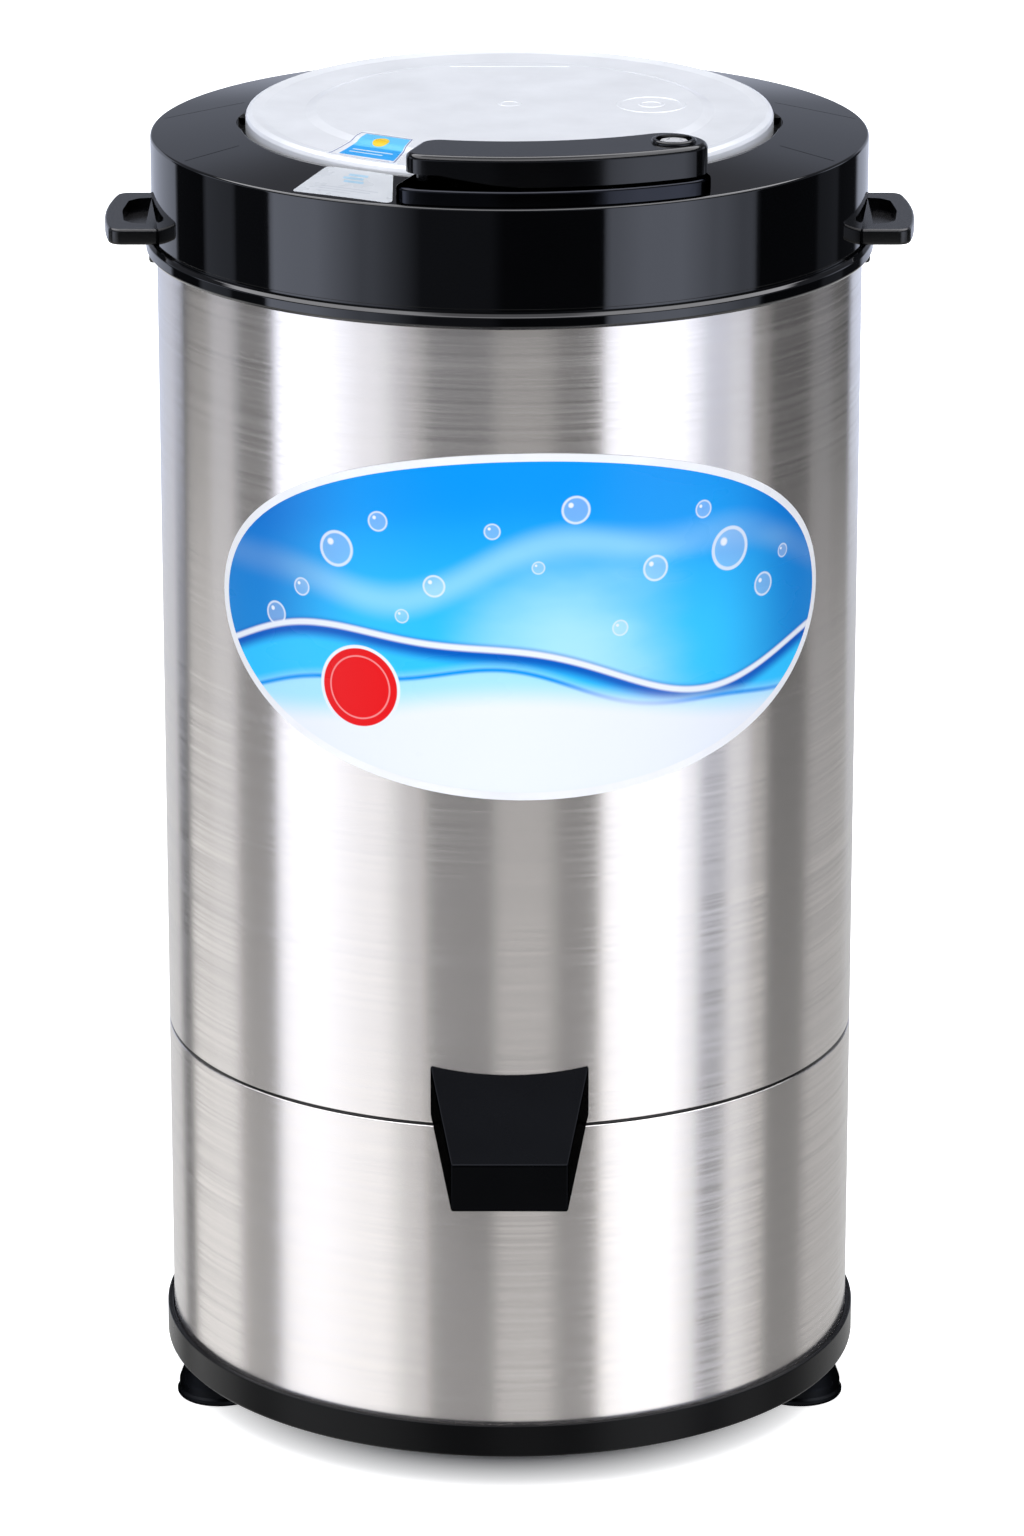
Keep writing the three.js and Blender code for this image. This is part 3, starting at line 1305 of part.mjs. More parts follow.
const pivot = polar(pivotCircleR, PIVOT_AZIMUTH);
fixed.add(place(mesh("pivot_bush", pivotBush(), bronze), ...pivot));
fixed.add(place(mesh("interlock_switch", interlockSwitch(), satinBlack),
  ...polar(plungerCircleR, PLUNGER_AZIMUTH), 0, radians(PLUNGER_AZIMUTH)));
fixed.add(place(mesh("capacitor", capacitor(), greyPlastic), ...CAPACITOR_PLACE));
fixed.add(place(mesh("capacitor_clip", capacitorClip(), galvanised), ...CAPACITOR_PLACE));

const lidGroup = assembly([["lid", lid(), whitePlastic]]);

const latchGroup = assembly([["latch_lever", latchLever(), satinBlack]]);
latchGroup.add(place(mesh("pivot_pin", pivotPin(), chrome), ...pivot));
latchGroup.add(place(mesh("brake_rod", brakeRod(), galvanised), ...pivot, 0,
  radians(PIVOT_AZIMUTH - 90)));

const plungerGroup = new THREE.Group();
plungerGroup.add(place(mesh("interlock_plunger", plunger(), greyPlastic),
  ...polar(plungerCircleR, PLUNGER_AZIMUTH)));

// The brake is drawn along +X and turned to the rod's azimuth.
const brakeTurn = radians(PIVOT_AZIMUTH - 90);
const brakeGroup = assembly([
  ["brake_arm", brakeArm(), galvanised],
  ["brake_lining", brakeLining(), rubber],
]);
brakeGroup.rotation.z = brakeTurn;

const drumGroup = assembly([
  ["drum", drum(), steel],
  ["drum_ring", drumRing(), satinBlack],
  ["drum_hub", drumHub(), castAluminium],
  ["drum_nut", drumNut(), galvanised],
  ["drum_cone", drumCone(), whitePlastic],
  ["drive_shaft", shaft(), galvanised],
  ["motor_rotor", rotor(), castIron],
  ["brake_drum", brakeDrum(), castIron],
]);

const dryer = new THREE.Group();
dryer.add(fixed, lidGroup, latchGroup, plungerGroup, brakeGroup, drumGroup);
dryer.position.y = CENTRING;

const part = new THREE.Group();
part.add(dryer);

export default part;
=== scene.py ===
# A laundry spin dryer on a plain pale floor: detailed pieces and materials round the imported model.
import json
import math

import bmesh
import bpy
from mathutils import Matrix, Vector


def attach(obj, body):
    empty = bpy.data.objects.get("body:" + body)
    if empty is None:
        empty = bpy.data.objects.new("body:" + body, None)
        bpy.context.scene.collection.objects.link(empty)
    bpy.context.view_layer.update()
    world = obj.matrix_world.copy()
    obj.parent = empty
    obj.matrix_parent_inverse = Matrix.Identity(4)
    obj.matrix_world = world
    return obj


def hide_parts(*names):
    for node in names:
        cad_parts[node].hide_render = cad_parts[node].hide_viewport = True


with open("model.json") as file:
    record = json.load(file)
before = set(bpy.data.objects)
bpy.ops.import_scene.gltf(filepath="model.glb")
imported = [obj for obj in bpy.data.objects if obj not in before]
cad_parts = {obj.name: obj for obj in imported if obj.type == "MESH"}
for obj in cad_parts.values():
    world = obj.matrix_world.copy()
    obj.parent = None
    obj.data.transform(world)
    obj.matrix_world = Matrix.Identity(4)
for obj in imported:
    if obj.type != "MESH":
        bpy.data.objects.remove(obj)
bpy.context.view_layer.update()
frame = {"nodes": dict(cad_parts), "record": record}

MM = 0.001
AXIS_Y = 18.3  # the drum's axis lies this far behind the origin
ROUND = 192

# ---------------------------------------------------------------- camera
camera_data = bpy.data.cameras.new("camera")
camera_data.sensor_fit = "VERTICAL"
camera_data.sensor_height = 36
camera_data.lens = 154.14
camera_data.clip_end = 60
camera = bpy.data.objects.new("camera", camera_data)
camera.location = (0.0012, -3.1744, 1.3422)
camera.rotation_euler = (math.radians(72.33), 0, 0)
bpy.context.scene.collection.objects.link(camera)
bpy.context.scene.camera = camera
bpy.context.scene.view_settings.view_transform = "Standard"


# ---------------------------------------------------------------- light
# Soft panels stand in a ring round the object. Each row is where one starts, as a turn from the front in
# degrees, how bright it is, and half the width of its soft edge.
STEEL_PANELS = [  # seen in the brushed sheet
    (-180, 0.75, 4), (-145, 0.03, 2), (-134, 1.25, 2), (-103, 0.42, 2), (-82.5, 1.60, 3), (-39, 1.00, 4),
    (-27.5, 0.28, 2), (-5, 0.82, 2), (15, 0.30, 3), (30, 1.75, 2), (59, 1.22, 3), (66, 0.12, 2),
    (77, 1.15, 2), (85, 0.92, 3), (95, 0.18, 2), (117, 0.58, 3),
]
COLLAR_PANELS = [  # seen in the polished collar, in a low narrow ring
    (-180, 0.75, 2), (-134, 0.02, 1), (-114, 0.30, 1), (-98, 0.05, 1), (-82, 2.20, 1), (-56, 1.00, 8),
    (-36, 0.10, 8), (-4, 0.02, 2), (30.5, 1.60, 1), (38, 2.10, 5), (62, 1.30, 6), (75, 0.85, 4),
    (85, 0.02, 1), (116, 0.09, 1), (130, 0.02, 1), (148, 0.80, 2),
]
TOP_PANELS = [  # seen in the collar's crown
    (-180, 0.28, 6), (-160, 0.75, 3), (-134, 0.20, 3), (-116, 1.00, 3), (-92, 0.30, 4), (-60, 0.80, 6),
    (-20, 0.30, 6), (20, 0.80, 6), (64, 0.30, 4), (94, 0.20, 4), (118, 0.90, 3), (134, 0.18, 3),
    (150, 0.60, 3), (166, 0.28, 4),
]
COOL = (0.96, 1.03, 1.24)  # the tint of the panels that the black pieces mirror


def world_light():
    world = bpy.data.worlds.new("studio")
    bpy.context.scene.world = world
    world.use_nodes = True
    nodes, links = world.node_tree.nodes, world.node_tree.links
    nodes.clear()
    place = nodes.new("ShaderNodeTexCoord")
    split = nodes.new("ShaderNodeSeparateXYZ")
    links.new(place.outputs["Generated"], split.inputs[0])

    def math_node(operation, a, b=None):
        node = nodes.new("ShaderNodeMath")
        node.operation = operation
        for socket, value in zip(node.inputs, (a, b)):
            if isinstance(value, bpy.types.NodeSocket):
                links.new(value, socket)
            elif value is not None:
                socket.default_value = value
        return node.outputs[0]

    back = math_node("MULTIPLY", split.outputs[1], -1.0)
    turn = math_node("ARCTAN2", split.outputs[0], back)
    along = math_node("ADD", math_node("DIVIDE", turn, 2 * math.pi), 0.5)

    def panels(rows, tint=(1, 1, 1)):
        stops = []
        for (start, strength, edge), following in zip(rows, rows[1:] + [(181, 0, 0)]):
            stops += [(max(start + edge, -180), strength), (min(following[0] - following[2], 180), strength)]
        ramp = nodes.new("ShaderNodeValToRGB")
        links.new(along, ramp.inputs[0])
        elements = ramp.color_ramp.elements
        while len(elements) < len(stops):
            elements.new(0.5)
        for element, (angle, strength) in zip(elements, stops):
            element.position = angle / 360 + 0.5
            element.color = (*(strength * share for share in tint), 1)
        return ramp.outputs[0]

    def blend(factor, low, high):
        node = nodes.new("ShaderNodeMix")
        node.data_type = "RGBA"
        for key, value in (("Factor", factor), ("A", low), ("B", high)):
            if isinstance(value, bpy.types.NodeSocket):
                links.new(value, node.inputs[key])
            else:
                node.inputs[key].default_value = value
        return node.outputs["Result"]

    def step(value, low, high):
        node = nodes.new("ShaderNodeMapRange")
        node.interpolation_type = "SMOOTHSTEP"
        links.new(value, node.inputs["Value"])
        node.inputs["From Min"].default_value = low
        node.inputs["From Max"].default_value = high
        return node.outputs["Result"]

    # From straight down to straight up: each row is where its look starts, as a sine, and the look.
    sine = split.outputs[2]
    steel_ring = panels(STEEL_PANELS)
    rings = [
        (-0.4, -0.25, steel_ring), (-0.275, -0.262, panels(COLLAR_PANELS, COOL)),
        (0.0, 0.14, panels(TOP_PANELS, COOL)), (0.27, 0.36, (0.15, 0.155, 0.18, 1)),
    ]
    whole = blend(0.24, steel_ring, (1, 1, 1, 1))
    for low, high, look in rings:
        whole = blend(step(sine, low, high), whole, look)
    # The bright ring overhead, and the softer patch inside it, show in reflections only.
    mirrored = nodes.new("ShaderNodeLightPath").outputs["Is Glossy Ray"]
    for low, high, look in ((0.58, 0.64, (4.6, 4.6, 4.8, 1)), (0.93, 0.96, (1.5, 1.5, 1.6, 1))):
        whole = blend(math_node("MULTIPLY", mirrored, step(sine, low, high)), whole, look)
    background = nodes.new("ShaderNodeBackground")
    links.new(whole, background.inputs["Color"])
    background.inputs["Strength"].default_value = 1.0
    output = nodes.new("ShaderNodeOutputWorld")
    links.new(background.outputs[0], output.inputs["Surface"])


def soft_light(name, strength, width, tilt):
    """A wide light, tilted from overhead towards the front, that the polished pieces don't mirror."""
    data = bpy.data.lights.new(name, "SUN")
    data.energy = strength
    data.angle = math.radians(width)
    light = bpy.data.objects.new(name, data)
    light.rotation_euler = (math.radians(tilt), 0, 0)
    light.visible_glossy = False
    bpy.context.scene.collection.objects.link(light)


world_light()
soft_light("sky_light", 2.7, 50, 20)
soft_light("front_light", 0.75, 60, 70)


# ---------------------------------------------------------------- materials
class Finish:
    """A procedural material on one principled shader, in the part's own coordinates."""

    def __init__(self, name, color, roughness, metallic=0.0, **sockets):
        self.material = bpy.data.materials.new(name)
        self.material.use_nodes = True
        self.nodes = self.material.node_tree.nodes
        self.links = self.material.node_tree.links
        self.shader = self.nodes["Principled BSDF"]
        self.shader.inputs["Base Color"].default_value = (*color, 1)
        self.shader.inputs["Roughness"].default_value = roughness
        self.shader.inputs["Metallic"].default_value = metallic
        for key, value in sockets.items():
            self.shader.inputs[key.replace("_", " ")].default_value = value
        self.place = self.nodes.new("ShaderNodeTexCoord").outputs["Object"]

    def put(self, socket, value):
        if isinstance(value, bpy.types.NodeSocket):
            self.links.new(value, socket)
        elif value is not None:
            socket.default_value = value

    def math(self, operation, a, b=None, c=None):
        node = self.nodes.new("ShaderNodeMath")
        node.operation = operation
        for socket, value in zip(node.inputs, (a, b, c)):
            self.put(socket, value)
        return node.outputs[0]

    def noise(self, scale, detail=3, stretch=(1, 1, 1), rough=0.5):
        mapping = self.nodes.new("ShaderNodeMapping")
        mapping.inputs["Scale"].default_value = stretch
        self.links.new(self.place, mapping.inputs["Vector"])
        node = self.nodes.new("ShaderNodeTexNoise")
        self.links.new(mapping.outputs[0], node.inputs["Vector"])
        node.inputs["Scale"].default_value = scale
        node.inputs["Detail"].default_value = detail
        node.inputs["Roughness"].default_value = rough
        return node.outputs["Fac"]

    def spread(self, value, low, high, start=0.3, end=0.7):
        node = self.nodes.new("ShaderNodeMapRange")
        self.links.new(value, node.inputs["Value"])
        node.inputs["From Min"].default_value = start
        node.inputs["From Max"].default_value = end
        node.inputs["To Min"].default_value = low
        node.inputs["To Max"].default_value = high
        return node.outputs["Result"]

    def mix(self, factor, a, b):
        node = self.nodes.new("ShaderNodeMix")
        node.data_type = "RGBA"
        self.put(node.inputs["Factor"], factor)
        self.put(node.inputs["A"], a if isinstance(a, bpy.types.NodeSocket) else (*a, 1))
        self.put(node.inputs["B"], b if isinstance(b, bpy.types.NodeSocket) else (*b, 1))
        return node.outputs["Result"]

    def color(self, value):
        self.links.new(value, self.shader.inputs["Base Color"])
        return self

    def roughness(self, value):
        self.links.new(value, self.shader.inputs["Roughness"])
        return self

    def bump(self, height, distance):
        node = self.nodes.new("ShaderNodeBump")
        node.inputs["Strength"].default_value = 1.0
        node.inputs["Distance"].default_value = distance
        self.links.new(height, node.inputs["Height"])
        self.links.new(node.outputs[0], self.shader.inputs["Normal"])
        return self


def moulded(name, color, roughness, grain, depth, **sockets):
    """Moulded plastic: a fine grain, a faint cloudiness in gloss and colour."""
    finish = Finish(name, color, roughness, **sockets)
    cloud = finish.noise(14, 4)
    finish.roughness(finish.spread(cloud, roughness * 0.88, roughness * 1.15))
    light = tuple(c * 1.25 + 0.0004 for c in color)
    finish.color(finish.mix(finish.noise(40, 3), color, light))
    return finish.bump(finish.noise(grain, 2), depth)


def brushed(name, color, roughness, metallic):
    """Brushed sheet metal: long fine scratches round the casing."""
    grain, depth = (2, 2, 520), 0.0000006
    finish = Finish(name, color, roughness, metallic, Anisotropic=0.85, Anisotropic_Rotation=0.25)
    tangent = finish.nodes.new("ShaderNodeTangent")
    tangent.direction_type = "RADIAL"
    tangent.axis = "Z"
    finish.links.new(tangent.outputs[0], finish.shader.inputs["Tangent"])
    lines = finish.noise(1, 3, grain, 0.7)
    finish.roughness(finish.spread(lines, roughness * 0.8, roughness * 1.3))
    dull = tuple(c * 0.96 for c in color)
    finish.color(finish.mix(finish.noise(1, 2, (3, 3, 260)), color, dull))
    return finish.bump(lines, depth)


steel = brushed("brushed_steel", (0.69, 0.657, 0.632), 0.2, 0.93)
drum_steel = brushed("drum_steel", (0.6, 0.6, 0.6), 0.24, 0.95)
gloss_black = moulded("gloss_black", (0.0008, 0.0009, 0.0012), 0.04, 260, 0.000003)
satin_black = moulded("satin_black", (0.0012, 0.0013, 0.0016), 0.2, 1700, 0.000008, Specular_IOR_Level=0.38)
lever_black = moulded("lever_black", (0.0008, 0.0009, 0.0012), 0.12, 900, 0.000002, Specular_IOR_Level=0.35)
DEEP = {"Metallic": 1.0, "Specular_Tint": (0, 0, 0, 1)}  # stays dark where it is seen at a glancing angle
pedestal_black = moulded("pedestal_black", (0.017, 0.0178, 0.021), 0.12, 900, 0.000002, **DEEP)
hood_black = moulded("hood_black", (0.0046, 0.0049, 0.0057), 0.26, 900, 0.00001, **DEEP)
base_black = moulded("base_black", (0.0008, 0.0009, 0.0012), 0.25, 1300, 0.00001, Specular_IOR_Level=0.12)
rubber = moulded("rubber", (0.008, 0.0085, 0.0095), 0.42, 1100, 0.00003, **DEEP)
# The lid's white glows faintly of its own: painted light that brightens its shaded sides.
lid_white_glowing = moulded("lid_white_glowing", (0.7, 0.72, 0.76), 0.2, 500, 0.000001,
    Emission_Color=(1, 1, 1, 1), Emission_Strength=0.06)
vinyl_white = moulded("vinyl_white", (0.78, 0.79, 0.81), 0.3, 600, 0.000006)
tub_grey = moulded("tub_grey", (0.2, 0.21, 0.22), 0.4, 700, 0.00004)
chrome = Finish("chrome", (0.8, 0.8, 0.8), 0.12, 1.0)
chrome.roughness(chrome.spread(chrome.noise(300, 3), 0.09, 0.18))
zinc = Finish("zinc_steel", (0.5, 0.51, 0.53), 0.4, 1.0)
zinc.roughness(zinc.spread(zinc.noise(180, 4), 0.3, 0.5)).bump(zinc.noise(900, 2), 0.00002)
cast = Finish("cast_aluminium", (0.45, 0.45, 0.46), 0.5, 1.0)
cast.roughness(cast.spread(cast.noise(120, 4), 0.42, 0.62)).bump(cast.noise(700, 4), 0.0001)
iron = Finish("cast_iron", (0.07, 0.07, 0.075), 0.6, 0.7)
iron.roughness(iron.spread(iron.noise(150, 4), 0.5, 0.75)).bump(iron.noise(800, 4), 0.0001)
copper = Finish("copper_winding", (0.42, 0.17, 0.07), 0.35, 0.9)
copper.roughness(copper.spread(copper.noise(200, 3), 0.3, 0.45))
copper.bump(copper.noise(1, 2, (900, 900, 60)), 0.0002)
bronze = Finish("bronze", (0.45, 0.29, 0.12), 0.35, 1.0)
bronze.roughness(bronze.spread(bronze.noise(400, 3), 0.28, 0.42))
screw_steel = Finish("screw_steel", (0.78, 0.78, 0.79), 0.3, 0.55)
screw_steel.roughness(screw_steel.spread(screw_steel.noise(260, 3), 0.24, 0.36))

NODE_FINISH = {"interlock_plunger": satin_black}
SLOT_FINISH = {
    "steel_sheet": steel, "black_gloss": gloss_black, "black_satin": satin_black, "rubber": rubber,
    "white_plastic": lid_white_glowing, "grey_plastic": tub_grey, "chrome": chrome, "zinc_steel": zinc,
    "cast_aluminium": cast, "cast_iron": iron, "copper_winding": copper, "bronze": bronze,
    "drum_steel": drum_steel, "badge_vinyl": lid_white_glowing,
}
NODE_SLOT = {row["node"]: row["material_slot"] for row in frame["record"]["subparts"]}
for node_name, node in frame["nodes"].items():
    node.data.materials.clear()
    node_finish = NODE_FINISH.get(node_name, SLOT_FINISH[NODE_SLOT[node_name]])
    node.data.materials.append(node_finish.material)


# ---------------------------------------------------------------- mesh helpers
# They work in millimetres from the drum's axis.
def add_object(name, vertices, faces, finish, sharp=32):
    data = bpy.data.meshes.new(name)
    data.from_pydata([(x * MM, (y + AXIS_Y) * MM, z * MM) for x, y, z in vertices], [], faces)
    piece = bpy.data.objects.new(name, data)
    bpy.context.scene.collection.objects.link(piece)
    tidy_mesh(piece, sharp)
    if finish:
        data.materials.append(finish.material)
    return piece


def tidy_mesh(piece, sharp=32):
    form = bmesh.new()
    form.from_mesh(piece.data)
    bmesh.ops.remove_doubles(form, verts=form.verts, dist=1e-7)
    bmesh.ops.recalc_face_normals(form, faces=form.faces)
    for face in form.faces:
        face.smooth = True
    form.to_mesh(piece.data)
    form.free()
    piece.data.set_sharp_from_angle(angle=math.radians(sharp))


def rounded(corners, steps=5):
    """A closed profile of (x, y, corner radius) with its corners rounded."""
    points = []
    count = len(corners)
    for i, (x, y, radius) in enumerate(corners):
        here = Vector((x, y))
        before = Vector(corners[i - 1][:2]) - here
        after = Vector(corners[(i + 1) % count][:2]) - here
        if radius <= 0 or before.length < 1e-6 or after.length < 1e-6:
            points.append((x, y))
            continue
        angle = before.angle(after)
        if angle > math.radians(176):
            points.append((x, y))
            continue
        reach = min(radius / math.tan(angle / 2), 0.48 * before.length, 0.48 * after.length)
        size = reach * math.tan(angle / 2)
        middle = here + (before.normalized() + after.normalized()).normalized() * (size / math.sin(angle / 2))
        start = here + before.normalized() * reach - middle
        end = here + after.normalized() * reach - middle
        sweep = start.angle_signed(end)
        for k in range(steps + 1):
            turn = -sweep * k / steps
            points.append((
                middle.x + start.x * math.cos(turn) - start.y * math.sin(turn),
                middle.y + start.x * math.sin(turn) + start.y * math.cos(turn),
            ))
    return points


def lathe(name, profile, finish, facets=ROUND, closed=True, centre=(0, 0), sharp=32):
    """Turns a profile of (radius, height) points round a vertical axis."""
    vertices, faces, rings = [], [], []
    for radius, height in profile:
        if radius < 1e-6:
            rings.append([len(vertices)])
            vertices.append((centre[0], centre[1], height))
            continue
        rings.append(list(range(len(vertices), len(vertices) + facets)))
        for i in range(facets):
            turn = 2 * math.pi * i / facets
            x, y = radius * math.sin(turn), radius * math.cos(turn)
            vertices.append((centre[0] + x, centre[1] - y, height))
    pairs = list(zip(rings, rings[1:] + rings[:1])) if closed else list(zip(rings, rings[1:]))
    for a, b in pairs:
        for i in range(facets):
            k = (i + 1) % facets
            if len(a) == 1 and len(b) == 1:
                break
            if len(a) == 1:
                faces.append((a[0], b[i], b[k]))
            elif len(b) == 1:
                faces.append((a[i], b[0], a[k]))
            else:
                faces.append((a[i], b[i], b[k], a[k]))
    return add_object(name, vertices, faces, finish, sharp=sharp)


def prism(name, outline, low, high, frame_axes="xyz"):
    """Extrudes a closed outline from low to high. frame_axes gives the outline's two axes, then the run's."""
    order = {
        "xyz": lambda u, v, w: (u, v, w),
        "xzy": lambda u, v, w: (u, w, v),
        "yzx": lambda u, v, w: (w, u, v),
    }
    to_world = order[frame_axes]
    count = len(outline)
    vertices = [to_world(u, v, low) for u, v in outline] + [to_world(u, v, high) for u, v in outline]
    faces = [tuple(range(count)), tuple(range(2 * count - 1, count - 1, -1))]
    faces += [(i, i + count, (i + 1) % count + count, (i + 1) % count) for i in range(count)]
    return add_object(name, vertices, faces, None)


def cut(piece, cutter, operation="DIFFERENCE"):
    """Cuts a piece with another, joins the two or keeps what they share, and removes the other."""
    modifier = piece.modifiers.new("cut", "BOOLEAN")
    modifier.operation = operation
    modifier.solver = "EXACT"
    modifier.object = cutter
    apply_modifiers(piece)
    data = cutter.data
    bpy.data.objects.remove(cutter)
    bpy.data.meshes.remove(data)
    return piece


def apply_modifiers(piece):
    bpy.context.view_layer.update()
    evaluated = piece.evaluated_get(bpy.context.evaluated_depsgraph_get())
    made = bpy.data.meshes.new_from_object(evaluated)
    old = piece.data
    piece.modifiers.clear()
    piece.data = made
    bpy.data.meshes.remove(old)


def soften(piece, width, steps, angle):
    """Rounds a piece's edges."""
    modifier = piece.modifiers.new("soften", "BEVEL")
    modifier.width = width * MM
    modifier.segments = steps
    modifier.limit_method = "ANGLE"
    modifier.angle_limit = math.radians(angle)
    modifier.use_clamp_overlap = True
    modifier.harden_normals = False
    apply_modifiers(piece)
    tidy_mesh(piece)
    return piece


def weigh_normals(piece):
    """Lets the large faces set the shading, so that a wall stays even up to its rounded edges."""
    modifier = piece.modifiers.new("weigh", "WEIGHTED_NORMAL")
    modifier.mode = "FACE_AREA"
    modifier.weight = 100
    modifier.keep_sharp = True
    apply_modifiers(piece)


def finished(piece, finish, body, slot, *replaced):
    """Gives a piece its material and body, and hides the CAD nodes that it stands for. The slot is not used.
    """
    weigh_normals(piece)
    piece.data.materials.clear()
    piece.data.materials.append(finish.material)
    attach(piece, body)
    if replaced:
        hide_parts(*replaced)
    return piece


def polar(radius, azimuth):
    turn = math.radians(azimuth)
    return radius * math.sin(turn), -radius * math.cos(turn)


def arc(x, y, radius, start, end, steps):
    return [(x + radius * math.cos(start + (end - start) * i / steps),
             y + radius * math.sin(start + (end - start) * i / steps)) for i in range(steps + 1)]


def circle(x, y, radius, steps):
    return arc(x, y, radius, 0, 2 * math.pi, steps)[:-1]


def cylinder(radius, low, high, centre, facets):
    """A plain upright cylinder, to cut with."""
    profile = [(0, low), (radius, low), (radius, high), (0, high)]
    return lathe("cylinder", profile, None, facets, False, centre)


def box_piece(x0, x1, y0, y1, z0, z1):
    return prism("box", [(x0, y0), (x1, y0), (x1, y1), (x0, y1)], z0, z1)


TO_AXIS = Matrix.Translation((0, AXIS_Y * MM, 0))
PIN = polar(159.4, 29.2)  # the latch turns on it, and the brake rod hangs below it
PLUNGER = polar(156, -15.2)

# ---------------------------------------------------------------- casing
CASING_R, SHEET, SEAM_Z = 175.0, 1.2, 196.0
CLEAR_R = 175.3  # the base's lip, collar, hood and outer grommet flange start here, just off the casing
CORD_Z = 62


def casing(name, node, low, high, low_roll, high_roll):
    inner = CASING_R - SHEET
    profile = rounded([
        (inner, low, 0.2), (CASING_R - 0.05, low, low_roll), (CASING_R, high, high_roll), (inner, high, 0.2),
    ])
    return finished(lathe(name, profile, steel, 256), steel, "casing_body", "steel_sheet", node)


casing("upper_shell", "upper_casing", 196.8, 605.2, 1.1, 0.2)
lower_shell = casing("lower_shell", "lower_casing", 30.8, 195.2, 0.2, 1.1)
cut(lower_shell, prism("gland_hole", circle(0, CORD_Z, 7.5, 32), 160, 190, frame_axes="xzy"))
tidy_mesh(lower_shell)

seam = lathe("seam_band", rounded([
    (169.5, 178.5, 0.3), (173.5, 178.5, 0.3), (173.5, 195.5, 0.0), (174.6, 195.5, 0.2), (174.6, 196.5, 0.2),
    (169.5, 196.5, 0.3),
]), satin_black)
finished(seam, satin_black, "casing_body", "black_satin", "seam_ring")

# ---------------------------------------------------------------- base tray and feet
base = lathe("base_rim", rounded([
    (40, 25.5, 0.5), (130, 25.5, 1.0), (134, 21.5, 1.0), (178.3, 21.5, 1.6), (178.3, 38.5, 1.3),
    (177.1, 38.5, 0.3), (176.7, 37.7, 0.2), (175.9, 37.7, 0.2), (CLEAR_R, 38.1, 0.2), (CLEAR_R, 30.5, 0.2),
    (173.5, 30.5, 0.2), (173.5, 42.5, 0.6), (170.5, 42.5, 0.6), (170.5, 29.5, 1.5), (40, 29.5, 0.5),
]), base_black, 224)
SOCKET_PROFILE = [(3.27, 29.0), (7.2, 29.0), (7.2, 41.5), (3.27, 41.5)]  # holds the brake rod's foot
cut(base, lathe("base_socket", SOCKET_PROFILE, base_black, 32, centre=PIN), "UNION")
tidy_mesh(base)
finished(base, base_black, "casing_body", "black_satin", "base_tray")

FOOT_PROFILE = rounded([
    (6, 0, 0.4), (20.8, 0, 1.2), (22, 1.6, 1.0), (22, 3.2, 0.8), (20.9, 4.6, 0.8), (20.9, 8.5, 6),
    (17.6, 17.5, 6), (16.4, 21.2, 0.3), (2.5, 21.2, 0.2), (2.5, 8, 0.1), (6, 8, 0.1),
])
FEET_R = 156
for side, azimuth in (("left", -74), ("right", 74), ("rear", 180)):
    foot = lathe("rubber_foot_" + side, FOOT_PROFILE, rubber, 64, centre=polar(FEET_R, azimuth))
    finished(foot, rubber, "casing_body", "rubber", "foot_" + side)

# ---------------------------------------------------------------- collar
CROWN_EDGE, CROWN_TOP, EDGE_R = 656.3, 660.6, 1.4
COLLAR_R, OPENING_R, LEDGE, FUNNEL_R, FUNNEL_Z = 177.5, 133.0, 654.5, 124.0, 632.5
CROWN_R = COLLAR_R - EDGE_R
NOTCH_CENTRE, NOTCH_R = 76.7, 58.3
ARCH_HALF, ARCH_RISE, ARCH_FOOT = 46.0, 21.0, 606.8
UNDER_COLLAR, OVER_CROWN = 632, 664  # cutters through the collar run between these
CREASES = [((132.9, 47.7), (171.9, 23.9)), ((131.5, -53.3), (157.1, -74.1))]  # on the right, from end to end


def crown_height(radius):
    return CROWN_EDGE + (CROWN_TOP - CROWN_EDGE) * (CROWN_R - radius) / (CROWN_R - OPENING_R)


def under_crown(radius):
    return (radius, crown_height(radius) - 3, 0.3)


def handle_arch(reach_in, reach_out):
    """The opening that a side handle comes through."""
    outline = [(ARCH_HALF * u, ARCH_FOOT + ARCH_RISE * v) for u, v in arc(0, 0, 1, 0, math.pi, 40)]
    return prism("arch", outline, reach_in, reach_out, frame_axes="yzx")


def sector(inner, outer, azimuth0, azimuth1, corner_left, corner_right, steps=40, corner_steps=8):
    """The outline of a bar that follows the casing between two radii and two azimuths."""
    quarter = math.pi / 2
    a0, a1 = math.radians(azimuth0) - quarter, math.radians(azimuth1) - quarter

    def offsets(corner):
        return (outer - corner, inner + corner,
                math.asin(corner / (outer - corner)), math.asin(corner / (inner + corner)))

    lo, li, lpo, lpi = offsets(corner_left)
    ro, ri, rpo, rpi = offsets(corner_right)

    def corner(radius, a, size, start, end):
        return arc(radius * math.cos(a), radius * math.sin(a), size, start, end, corner_steps)

    return (
        arc(0, 0, outer, a0 + lpo, a1 - rpo, steps)[1:-1]
        + corner(ro, a1 - rpo, corner_right, a1 - rpo, a1 + quarter)
        + corner(ri, a1 - rpi, corner_right, a1 + quarter, a1 - rpi + math.pi)
        + arc(0, 0, inner, a1 - rpi, a0 + lpi, steps)[1:-1]
        + corner(li, a0 + lpi, corner_left, a0 + lpi + math.pi, a0 + 3 * quarter)
        + corner(lo, a0 + lpo, corner_left, a0 - quarter, a0 + lpo)
    )


